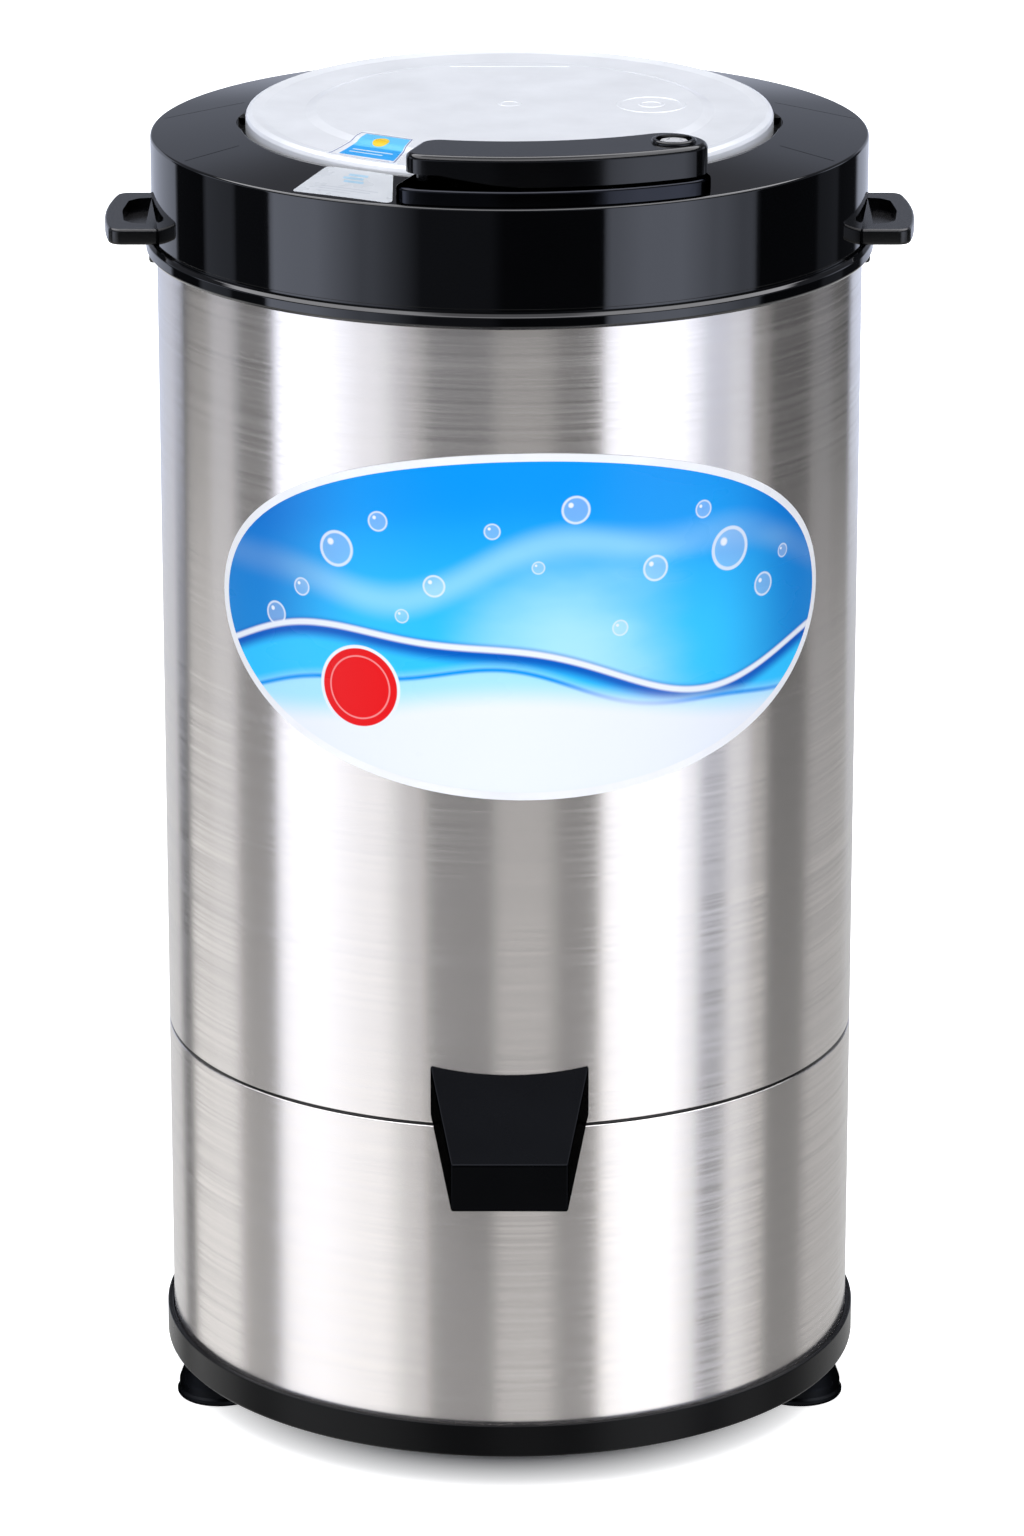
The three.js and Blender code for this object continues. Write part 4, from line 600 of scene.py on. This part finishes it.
collar = lathe("collar_shell", rounded([
    (CLEAR_R, 600.0, 0.2), (176.9, 600.0, 0.2), (176.9, 607.8, 0.0), (COLLAR_R, 607.8, 0.5),
    (COLLAR_R, CROWN_EDGE, EDGE_R), (134.0, crown_height(134), 0.0), (OPENING_R, CROWN_TOP - 0.2, 0.6),
    (OPENING_R, LEDGE, 0.5), (FUNNEL_R, LEDGE, 0.8), (FUNNEL_R, FUNNEL_Z, 0.5), (126.5, FUNNEL_Z, 0.3),
    (126.5, 652.0, 0.3), (135.5, 652.0, 0.3), under_crown(135.5), under_crown(144.5),
    (144.5, FUNNEL_Z, 0.3), (147.0, FUNNEL_Z, 0.3), under_crown(147.0), under_crown(172.5),
    (174.5, 650.3, 0.3), (174.5, 605.5, 0.2), (CLEAR_R, 605.5, 0.2),
], 6), gloss_black, 256)


def crease(start, end, half_width=0.3, depth=0.25):
    """A shallow mould line across the crown."""
    start, end = Vector(start), Vector(end)
    side = (end - start).normalized().orthogonal() * half_width
    corners = [start - side, start + side, end + side, end - side]
    vertices = [(c.x, c.y, crown_height(c.length) - depth) for c in corners]
    vertices += [(c.x, c.y, OVER_CROWN) for c in corners]
    faces = [(0, 1, 2, 3), (7, 6, 5, 4)] + [(i, i + 4, (i + 1) % 4 + 4, (i + 1) % 4) for i in range(4)]
    cut(collar, add_object("crease", vertices, faces, None))


for direction in (1, -1):
    reach = sorted((166.5 * direction, 187 * direction))
    cut(collar, handle_arch(*reach))
    cut(collar, prism("notch", circle(NOTCH_CENTRE * direction, 0, NOTCH_R, 128), LEDGE + 0.02, 666))
    for start, end in CREASES:
        crease((start[0] * direction, start[1]), (end[0] * direction, end[1]))
cut(collar, box_piece(-35.5, 35.5, 127.1, 156.1, 642.8, 671))
cut(collar, cylinder(5.5, UNDER_COLLAR, OVER_CROWN, PIN, 24))
cut(collar, cylinder(3.4, UNDER_COLLAR, OVER_CROWN, PLUNGER, 16))
tidy_mesh(collar)
finished(collar, gloss_black, "casing_body", "black_gloss", "collar")

trim = lathe("collar_trim", rounded([
    (177.2, 598.6, 0.2), (179.2, 598.6, 0.5), (180.4, 600.0, 1.0), (180.4, 604.6, 1.2), (178.8, 606.2, 0.8),
    (177.2, 606.2, 0.2),
]), gloss_black, 256)
finished(trim, gloss_black, "casing_body", "black_gloss", "collar_trim_ring")


def handle(side, turn):
    reach, root, half, low, high = 200.5, 172.0, 42.0, 607.4, 615.4
    corner = 7.0
    y = half - corner
    x = math.sqrt((reach - corner) ** 2 - y ** 2)
    out = math.atan2(y, x)
    lower = arc(x, -y, corner, -math.pi / 2, -out, 8)
    upper = arc(x, y, corner, out, math.pi / 2, 8)
    front = arc(0, 0, reach, -out, out, 24)[1:-1]
    plate = prism("side_grip_" + side, [(root, -half)] + lower + front + upper + [(root, half)], low, high)
    soften(plate, 1.5, 4, 40)
    pocket = prism("pocket", rounded([
        (179.0, -29.0, 0.2), (185.5, -27.6, 4), (190.2, -22.0, 5), (192.2, 0, 30), (190.2, 22.0, 5),
        (185.5, 27.6, 4), (179.0, 29.0, 0.2),
    ], 6), high - 5.5, high + 2)
    cut(plate, pocket)
    flange = lathe("flange", [(171.0, 605.8), (174.2, 605.8), (174.2, 631.4), (171.0, 631.4)], None, ROUND)
    cut(flange, box_piece(140, 190, -50, 50, 600, 640), "INTERSECT")
    cut(plate, flange, "UNION")
    tidy_mesh(plate)
    plate.data.transform(TO_AXIS @ Matrix.Rotation(turn, 4, "Z") @ TO_AXIS.inverted())
    return finished(plate, satin_black, "casing_body", "black_satin", "side_handle_" + side)


handle("right", 0.0)
handle("left", math.pi)


def out_of_casing(name, profile, azimuth, height, finish, slot, node):
    """Turns a profile round a line that points out of the casing. Each point is a radius round that line and
    a distance from the drum's axis."""
    piece = lathe(name, profile, finish, 48, profile[0][0] > 0)
    spin = Matrix.Rotation(math.radians(azimuth - 90), 4, "Z") @ Matrix.Rotation(math.pi / 2, 4, "Y")
    piece.data.transform(Matrix.Translation((0, 0, height * MM)) @ TO_AXIS @ spin @ TO_AXIS.inverted())
    return finished(piece, finish, "casing_body", slot, node)


CLIP_TURN, CLIP_R, CLIP_ROOT, CLIP_REACH, CLIP_Z = 87, 3.6, 175.35, 179.0, 594.7
CLIP_PROFILE = rounded([
    (0, CLIP_ROOT, 0), (CLIP_R, CLIP_ROOT, 0.1), (CLIP_R, CLIP_REACH, 2.0), (0, CLIP_REACH, 0),
])
for side, azimuth in (("right", CLIP_TURN), ("left", -CLIP_TURN)):
    out_of_casing("clip_" + side, CLIP_PROFILE, azimuth, CLIP_Z, satin_black, "black_satin",
        "handle_clip_" + side)

out_of_casing("cord_grommet", rounded([
    (4.2, 169.8, 0.3), (9, 169.8, 0.4), (9, 173.2, 0.3), (7.2, 173.2, 0.1), (7.2, CLEAR_R, 0.1),
    (9, CLEAR_R, 0.4), (8, 179, 0.8), (4.2, 179, 0.8),
]), 180, CORD_Z, rubber, "rubber", "cord_gland")

# ---------------------------------------------------------------- lid
LID_R, LID_BOTTOM, LID_CENTRE = 130.4, 657.1, 668.1
LID_TILT, LID_MIDDLE = 1.65, 667.3  # degrees up towards the hinge, round the middle of the rim
LID_TOP = [
    (129.6, 666.2, 0.9), (127.2, 667.3, 2.0), (121.5, 666.35, 6), (112, 666.2, 4), (101, 666.35, 3),
    (95.5, 667.65, 3),
]
HINGE_Y, HINGE_Z = 146, 652.0


def lid_height(point):
    """The tilted lid's top over a point, for what lies on it."""
    stops = [(0, LID_CENTRE)] + [(r, z) for r, z, _ in reversed(LID_TOP)]
    level = stops[-1][1]
    for (r0, z0), (r1, z1) in zip(stops, stops[1:]):
        if r0 <= point.length <= r1:
            level = z0 + (z1 - z0) * (point.length - r0) / (r1 - r0)
    return level + point.y * math.tan(math.radians(LID_TILT))


def raised_ring(shell, inner, outer, low, high, centre):
    profile = [(inner, low, 0), (outer, low, 0), (outer - 0.4, high, 0.3), (inner + 0.4, high, 0.3)]
    cut(shell, lathe("ring", rounded(profile, 3), None, 64, centre=centre), "UNION")


def lid():
    skirt = LID_BOTTOM - 10
    profile = rounded([
        (0, 665.2, 0), (93, 665.2, 2), (100, 663.7, 2), (123.4, 663.7, 2), (126.4, 661.7, 1),
        (126.4, skirt, 0), (LID_R, skirt, 0), (LID_R, 664.5, 1.5), *LID_TOP, (0, LID_CENTRE, 0),
    ], 5)
    shell = lathe("lid_shell", profile, lid_white_glowing, 256, closed=False)
    raised_ring(shell, 14.6, 17.6, 667.4, 668.0, (70, 5))
    raised_ring(shell, 4.6, 6.6, 667.4, 667.98, (70, 5))
    raised_ring(shell, 3.6, 6.2, 667.7, 668.22, (0, 5.7))
    cut(shell, box_piece(-30, 30, 86.6, 88.2, 667.3, 667.95), "UNION")
    middle = Vector((0, AXIS_Y * MM, LID_MIDDLE * MM))
    tilt = Matrix.Rotation(math.radians(LID_TILT), 4, "X")
    shell.data.transform(Matrix.Translation(middle) @ tilt @ Matrix.Translation(-middle))
    cut(shell, box_piece(-140, 140, -140, 140, skirt - 10, LID_BOTTOM))
    arm = prism("arm", [
        (126.4, 657.7), (131.0, 657.7), (142.0, 649.0), (HINGE_Y, HINGE_Z), (143.0, 656.0), (140.0, 657.6),
        (130.4, 663.1), (126.4, 663.1),
    ], -30, 30, frame_axes="yzx")
    soften(arm, 0.6, 2, 20)
    cut(shell, arm, "UNION")
    cut(shell, prism("barrel", circle(HINGE_Y, HINGE_Z, 5, 40), -30, 30, frame_axes="yzx"), "UNION")
    cut(shell, prism("bore", circle(HINGE_Y, HINGE_Z, 2.2, 24), -32, 32, frame_axes="yzx"))
    tidy_mesh(shell)
    return finished(shell, lid_white_glowing, "lid_body", "white_plastic", "lid")


lid()

# ---------------------------------------------------------------- latch and pedestal
LATCH_R = 175.4
LEVER_LOW, LEVER_TOP = 666.1, 680.5
RING_TOP = LEVER_TOP + 1.5
RECESS_FLOOR = RING_TOP - 4.4


def pedestal():
    block = prism("latch_base", sector(137.5, LATCH_R, -18.6, 35.5, 9, 15), 642.3, 664.5)
    soften(block, 1.8, 4, 40)
    gap = 0.3
    edge = arc(CROWN_R, CROWN_EDGE - EDGE_R + gap, EDGE_R + gap, 0, math.pi / 2, 8)
    crown = [(0, FUNNEL_Z), (COLLAR_R + gap, FUNNEL_Z)] + edge + [(0, crown_height(0) + 2 * gap)]
    cut(block, lathe("crown", crown, None, ROUND, False))
    cut(block, cylinder(8.3, UNDER_COLLAR, 670, PIN, 32))
    cut(block, cylinder(3.4, UNDER_COLLAR, 670, PLUNGER, 20))
    tidy_mesh(block)
    return finished(block, pedestal_black, "casing_body", "black_satin", "latch_pedestal")


def lever():
    low, high = LEVER_LOW, LEVER_TOP
    left_end, right_end = -17, 35.2
    bar = prism("latch_grip", sector(136.5, LATCH_R, left_end, right_end, 10, 17), low - 4, high)
    soften(bar, 2.8, 5, 40)
    cut(bar, box_piece(-180, 180, -180, 0, low - 20, low))
    left = polar(LATCH_R, left_end)[0]
    scoop = prism("scoop", rounded([
        (left - 20, low - 10, 0), (10, low - 10, 0), (6, low, 4), (-8, low + 1.2, 10),
        (left + 30, low + 3.2, 10), (left + 18, low + 5.2, 8), (left - 20, low + 5.2, 0),
    ]), -186, -68, frame_axes="xzy")
    cut(bar, scoop)
    ring = rounded([(0, high - 3, 0), (11.2, high - 3, 0), (10.6, RING_TOP, 1.0), (0, RING_TOP, 0)], 4)
    cut(bar, lathe("ring", ring, None, 64, False, PIN), "UNION")
    cut(bar, cylinder(8.6, RECESS_FLOOR, high + 10, PIN, 64))
    cut(bar, cylinder(5.3, low - 10, high + 10, PIN, 32))
    tidy_mesh(bar)
    return finished(bar, lever_black, "latch", "black_satin", "latch_lever")


pedestal()
lever()

PIN_FOOT, PIN_HEAD = 650.5, RECESS_FLOOR + 0.3
pin = lathe("pivot_screw", rounded([
    (0, PIN_FOOT, 0), (5, PIN_FOOT, 0.3), (5, PIN_HEAD, 0.1), (6.7, PIN_HEAD, 0.3),
    (6.7, PIN_HEAD + 3.2, 0.7), (0, PIN_HEAD + 3.2, 0),
], 4), screw_steel, 64, False, PIN)
finished(pin, screw_steel, "latch", "chrome", "pivot_pin")


# ---------------------------------------------------------------- drain hood
def hood():
    rise, lip, foot = 27.5, 3.8, 28.1  # the top at the casing, and the front's two edges, from the seam
    reach = 217.0  # from the drum's axis to the front
    wide, narrow = 38.7, 28.4  # half the width at the casing and at the front
    slope = (rise + lip) / (reach - CASING_R)

    def form(wall, drop):
        back, front, under = -163.0, wall - reach, SEAM_Z + 5.4 - drop
        side = [
            (back, SEAM_Z + rise + 12 * slope - wall), (back, under), (-171.0, under),
            (front, SEAM_Z - foot - drop), (front, SEAM_Z - lip - wall * (1 - slope)),
        ]
        plan = [
            (wall - wide, back), (wall - wide, -172.0), (wall - narrow, front), (narrow - wall, front),
            (wide - wall, -172.0), (wide - wall, back),
        ]
        body = prism("hood_form", side, -44, 44, frame_axes="yzx")
        return cut(body, prism("plan", plan, SEAM_Z - 80, SEAM_Z + 60), "INTERSECT")

    shell = form(0, 0)
    shell.name = "drain_spout"
    soften(shell, 1.4, 4, 20)
    cut(shell, form(2.6, 30))
    for screw_x in (-25, 25):
        screw_z = SEAM_Z + 12.5
        boss = prism("boss", circle(screw_x, screw_z, 4.6, 20), -190, -160, frame_axes="xzy")
        cut(boss, form(1.0, 1.0), "INTERSECT")
        cut(shell, boss, "UNION")
        cut(shell, prism("hole", circle(screw_x, screw_z, 2.1, 16), -187, -150, frame_axes="xzy"))
    cut(shell, cylinder(CLEAR_R, 110, 280, (0, 0), 256))
    cut(shell, prism("relief", circle(-CLEAR_R, SEAM_Z, 3.4, 24), -50, 50, frame_axes="yzx"))
    tidy_mesh(shell)
    return finished(shell, hood_black, "casing_body", "black_satin", "drain_hood")


hood()

# ---------------------------------------------------------------- front badge
BADGE_R = CASING_R + 0.66
BADGE_HALF_LENGTH, BADGE_HALF_HEIGHT = 170.0, 86.4
BADGE_TURN, BADGE_Z, BADGE_BORDER = 3.2, 451.0, 3.9


def oval(inset, count=192):
    """The badge's outline as (along the casing, up), drawn in by an even border."""
    points = [Vector((u * BADGE_HALF_LENGTH, v * BADGE_HALF_HEIGHT)) for u, v in circle(0, 0, 1, count)]
    drawn = []
    for i, point in enumerate(points):
        run = points[(i + 1) % count] - points[i - 1]
        drawn.append(point + Vector((-run.y, run.x)).normalized() * inset)
    return drawn


def thin_sheet(name, outline, place, finish, thickness, steps):
    """A sheet inside an outline, with a folded edge. place(u, v, lift) gives a point on it."""
    loops = [[place(u, v, -thickness) for u, v in outline]]
    for k in range(steps, 0, -1):
        loops.append([place(u * k / steps, v * k / steps, 0) for u, v in outline])
    count = len(outline)
    vertices = [point for loop in loops for point in loop] + [place(0, 0, 0)]
    faces = []
    for k in range(steps):
        for i in range(count):
            n = (i + 1) % count
            faces.append((k * count + i, k * count + n, (k + 1) * count + n, (k + 1) * count + i))
    start = steps * count
    faces += [(start + i, start + (i + 1) % count, len(vertices) - 1) for i in range(count)]
    return add_object(name, vertices, faces, finish, sharp=60)


def skin(name, outline, finish, radius, thickness):
    """A thin skin on the casing, inside an outline in millimetres along it and up."""

    def place(along, up, lift):
        x, y = polar(radius + lift, math.degrees(along / CASING_R) + BADGE_TURN)
        return x, y, BADGE_Z + up

    return thin_sheet(name, outline, place, finish, thickness, 40)


class Print(Finish):
    """A printed picture drawn with plain shapes, in millimetres from its own middle."""

    def swap_place(self, along, up):
        self.along, self.up = along, up

    def step(self, value, low, high):
        node = self.nodes.new("ShaderNodeMapRange")
        node.interpolation_type = "SMOOTHSTEP"
        self.put(node.inputs["Value"], value)
        node.inputs["From Min"].default_value = low
        node.inputs["From Max"].default_value = high
        return node.outputs["Result"]

    def wave(self, level, *swells):
        """Height above a wavy line: each swell is its height, length and shift in millimetres."""
        line = self.math("SUBTRACT", self.up, level)
        for height, length, shift in swells:
            phase = self.math("MULTIPLY_ADD", self.along, 2 * math.pi / length, shift)
            line = self.math("MULTIPLY_ADD", self.math("SINE", phase), -height, line)
        return line

    def distance(self, x, y):
        dx, dy = self.math("SUBTRACT", self.along, x), self.math("SUBTRACT", self.up, y)
        squares = self.math("ADD", self.math("MULTIPLY", dx, dx), self.math("MULTIPLY", dy, dy))
        return self.math("SQRT", squares)

    def band(self, value, low, high, soft):
        inside = self.step(value, low - soft, low + soft)
        outside = self.math("SUBTRACT", 1.0, self.step(value, high - soft, high + soft))
        return self.math("MULTIPLY", inside, outside)


BUBBLES = [  # along, up and radius
    (-96, 34, 9), (-74, 50, 5), (-116, 12, 4.5), (104, 30, 11), (126, 8, 6), (88, 52, 4.5), (62, 26, 6.5),
    (-46, 20, 5.5), (22, 58, 7), (-18, 48, 4), (140, 22, 3.5), (44, -2, 4), (-132, -4, 6), (4, 30, 3.2),
    (-62, 4, 3.5),
]


def badge_print():
    ink = Print("badge_print", (0.05, 0.35, 0.8), 0.28, Specular_IOR_Level=0.15)
    split = ink.nodes.new("ShaderNodeSeparateXYZ")
    ink.links.new(ink.place, split.inputs[0])
    back = ink.math("SUBTRACT", AXIS_Y * MM, split.outputs[1])
    turn = ink.math("SUBTRACT", ink.math("ARCTAN2", split.outputs[0], back), math.radians(BADGE_TURN))
    along = ink.math("MULTIPLY", turn, CASING_R)
    up = ink.math("MULTIPLY_ADD", split.outputs[2], 1 / MM, -BADGE_Z)
    ink.swap_place(along, up)
    cloud = ink.noise(9, 4, (1, 1, 2.2))

    deep, azure, cyan, pale = (0.0, 0.11, 0.52), (0.0, 0.3, 0.85), (0.03, 0.55, 1.0), (0.4, 0.78, 1.0)
    white = (0.83, 0.87, 0.93)
    look = ink.mix(ink.step(ink.up, 78, -20), azure, cyan)
    reach = ink.math("ADD", ink.distance(18, -18), ink.math("MULTIPLY", cloud, 60))
    look = ink.mix(ink.step(reach, 105, 34), look, pale)
    swell = ink.wave(22, (15, 300, 0.4), (5, 120, 1.5))
    look = ink.mix(ink.math("MULTIPLY", ink.band(swell, 0, 13, 6), 0.55), look, pale)
    deep_swell = ink.wave(46, (13, 260, 2.2), (4, 150, 0.3))
    look = ink.mix(ink.math("MULTIPLY", ink.band(deep_swell, 0, 22, 9), 0.5), look, azure)
    corner = ink.step(ink.math("ABSOLUTE", ink.math("SUBTRACT", ink.along, 6)), 84, 150)
    look = ink.mix(ink.math("MULTIPLY", corner, 0.7), look, deep)
    crest = ink.wave(-17, (15, 330, 2.9), (4, 140, 0.8))
    look = ink.mix(ink.step(crest, 2, -2), look, deep)
    look = ink.mix(ink.step(crest, -5, -12), look, cyan)
    look = ink.mix(ink.band(crest, -3.5, -0.5, 0.8), look, white)
    second = ink.wave(-31, (12, 300, 2.3), (3, 110, 2.0))
    look = ink.mix(ink.step(second, 2, -7), look, pale)
    look = ink.mix(ink.band(second, -4.5, -2.5, 1.0), look, azure)
    third = ink.wave(-43, (9, 280, 1.7))
    look = ink.mix(ink.step(third, 9, -7), look, white)
    for x, y, radius in BUBBLES:
        away = ink.distance(x, y)
        glint = ink.distance(x - radius * 0.35, y + radius * 0.35)
        look = ink.mix(ink.math("MULTIPLY", ink.step(away, radius + 0.4, radius - 0.4), 0.2), look, white)
        look = ink.mix(ink.math("MULTIPLY", ink.band(away, radius * 0.84, radius, 0.4), 0.75), look, white)
        look = ink.mix(ink.step(glint, radius * 0.24, radius * 0.12), look, white)
    dot = ink.distance(-84, -34)
    look = ink.mix(ink.step(dot, 21.4, 20.8), look, white)
    look = ink.mix(ink.step(dot, 19.8, 19.2), look, (0.8, 0.003, 0.006))
    look = ink.mix(ink.band(dot, 15.2, 16.0, 0.25), look, (0.9, 0.25, 0.25))
    ink.color(look)
    ink.roughness(ink.spread(cloud, 0.24, 0.34))
    return ink


badge_sheet = skin("badge_sheet", oval(0), vinyl_white, BADGE_R - 0.1, 0.26)
finished(badge_sheet, vinyl_white, "casing_body", "badge_vinyl", "front_badge")
picture = badge_print()
badge_picture = skin("badge_picture", oval(BADGE_BORDER), picture, BADGE_R, 0.08)
finished(badge_picture, picture, "casing_body", "badge_vinyl")


# ---------------------------------------------------------------- plain labels on the lid and the crown
def label(name, corners, corner_size, height, finish, body):
    """A thin label over four (x, y) corners, in order round it, that follows the surface below."""
    middle = sum((Vector(corner) for corner in corners), Vector((0, 0))) / len(corners)
    shape = [Vector(p) - middle for p in rounded([(x, y, corner_size) for x, y in corners])]
    outline = []
    for start, end in zip(shape, shape[1:] + shape[:1]):
        pieces = max(1, round((end - start).length / 3))
        outline += [start.lerp(end, k / pieces) for k in range(pieces)]

    def place(x, y, lift):
        point = Vector((x, y)) + middle
        return point.x, point.y, height(point) + 0.18 + lift

    sheet = thin_sheet(name, outline, place, finish, 0.16, 12)
    return finished(sheet, finish, body, "badge_vinyl")


def label_print(name, corners, paper, areas, patch=None):
    """Areas of plain colour across a label, from -0.5 to 0.5 both ways: each is its left, right, low and
    high edge and a colour. A patch is the middle and radius of a round area and its colour."""
    a, b, c, d = (Vector(corner) for corner in corners)
    middle, across, away = (a + b + c + d) / 4, (b - a + c - d) / 2, (d - a + c - b) / 2
    taper = ((c - d).length - (b - a).length) / across.length
    spread = across.x * away.y - across.y * away.x
    ink = Print(name, paper, 0.3, Specular_IOR_Level=0.2)
    split = ink.nodes.new("ShaderNodeSeparateXYZ")
    ink.links.new(ink.place, split.inputs[0])
    x = ink.math("MULTIPLY_ADD", split.outputs[0], 1 / MM, -middle.x)
    y = ink.math("MULTIPLY_ADD", split.outputs[1], 1 / MM, -middle.y - AXIS_Y)

    def share(of_x, of_y):
        return ink.math("MULTIPLY_ADD", x, of_x / spread, ink.math("MULTIPLY", y, of_y / spread))

    up = share(-across.y, across.x)
    ink.swap_place(ink.math("DIVIDE", share(away.y, -away.x), ink.math("MULTIPLY_ADD", up, taper, 1.0)), up)
    look = ink.mix(ink.noise(60, 3), paper, tuple(0.96 * v for v in paper))
    soft = 0.007
    for left, right, low, high, colour in areas:
        beside = ink.band(ink.along, left, right, soft)
        look = ink.mix(ink.math("MULTIPLY", beside, ink.band(ink.up, low, high, soft)), look, colour)
    if patch:
        along, above, radius, colour = patch
        look = ink.mix(ink.step(ink.distance(along, above), radius + soft, radius - soft), look, colour)
    ink.color(look)
    ink.roughness(ink.spread(ink.noise(90, 3), 0.24, 0.36))
    return ink


LID_LABEL = [(-89.6, -92.6), (-54.2, -111.5), (-46.0, -66.5), (-71.4, -49.6)]
CROWN_LABEL = [(-103.2, -139.8), (-55.1, -166.2), (-55.4, -122.6), (-87.4, -102.8)]
NAVY, SKY, LIGHT_SKY, AMBER = (0.01, 0.05, 0.25), (0.01, 0.36, 0.86), (0.12, 0.56, 0.93), (0.92, 0.6, 0.01)
PALE, MIST, SLATE = (0.72, 0.86, 0.96), (0.38, 0.58, 0.74), (0.42, 0.45, 0.5)
lid_ink = label_print("lid_label_print", LID_LABEL, (0.84, 0.86, 0.9), [
    (-0.47, 0.47, -0.45, 0.45, NAVY), (-0.455, 0.455, -0.435, 0.435, (0.84, 0.86, 0.9)),
    (-0.36, 0.44, -0.37, 0.42, SKY), (-0.36, 0.44, 0.02, 0.42, LIGHT_SKY),
    (-0.28, 0.34, -0.13, -0.1, PALE), (-0.28, 0.22, -0.23, -0.2, PALE),
], (0.02, 0.2, 0.13, AMBER))
crown_ink = label_print("crown_label_print", CROWN_LABEL, (0.62, 0.65, 0.69), [
    (-0.3, 0.34, -0.2, -0.18, SLATE), (-0.3, 0.26, -0.28, -0.26, SLATE), (-0.3, 0.06, -0.36, -0.345, SLATE),
    (-0.1, 0.14, 0.02, 0.1, MIST), (-0.14, 0.12, 0.14, 0.22, MIST), (-0.1, 0.16, 0.26, 0.34, MIST),
])
label("lid_label", LID_LABEL, 2.5, lid_height, lid_ink, "lid_body")
label("crown_label", CROWN_LABEL, 2.5, lambda point: crown_height(point.length), crown_ink, "casing_body")

# ---------------------------------------------------------------- stage and close
floor_data = bpy.data.meshes.new("floor")
floor_data.from_pydata([(-9, -9, 0), (9, -9, 0), (9, 9, 0), (-9, 9, 0)], [], [(0, 1, 2, 3)])
floor = bpy.data.objects.new("floor", floor_data)
bpy.context.scene.collection.objects.link(floor)
floor_finish = Print("floor", (0.9, 0.9, 0.9), 0.8, Emission_Color=(1, 1, 1, 1))
floor_finish.color(floor_finish.mix(floor_finish.noise(3, 3), (0.9, 0.9, 0.9), (0.91, 0.91, 0.91)))
floor_split = floor_finish.nodes.new("ShaderNodeSeparateXYZ")
floor_finish.links.new(floor_finish.place, floor_split.inputs[0])
floor_finish.swap_place(*(floor_finish.math("MULTIPLY", floor_split.outputs[i], 1 / MM) for i in (0, 1)))
# The floor glows evenly away from the object, and the glow fades out under and round the base: a painted
# contact shadow.
emission_with_painted_shadow = floor_finish.spread(floor_finish.distance(0, AXIS_Y), 0.0, 0.85, 128, 168)
floor_finish.links.new(emission_with_painted_shadow, floor_finish.shader.inputs["Emission Strength"])
floor_data.materials.append(floor_finish.material)
floor.visible_glossy = False
floor.visible_diffuse = False
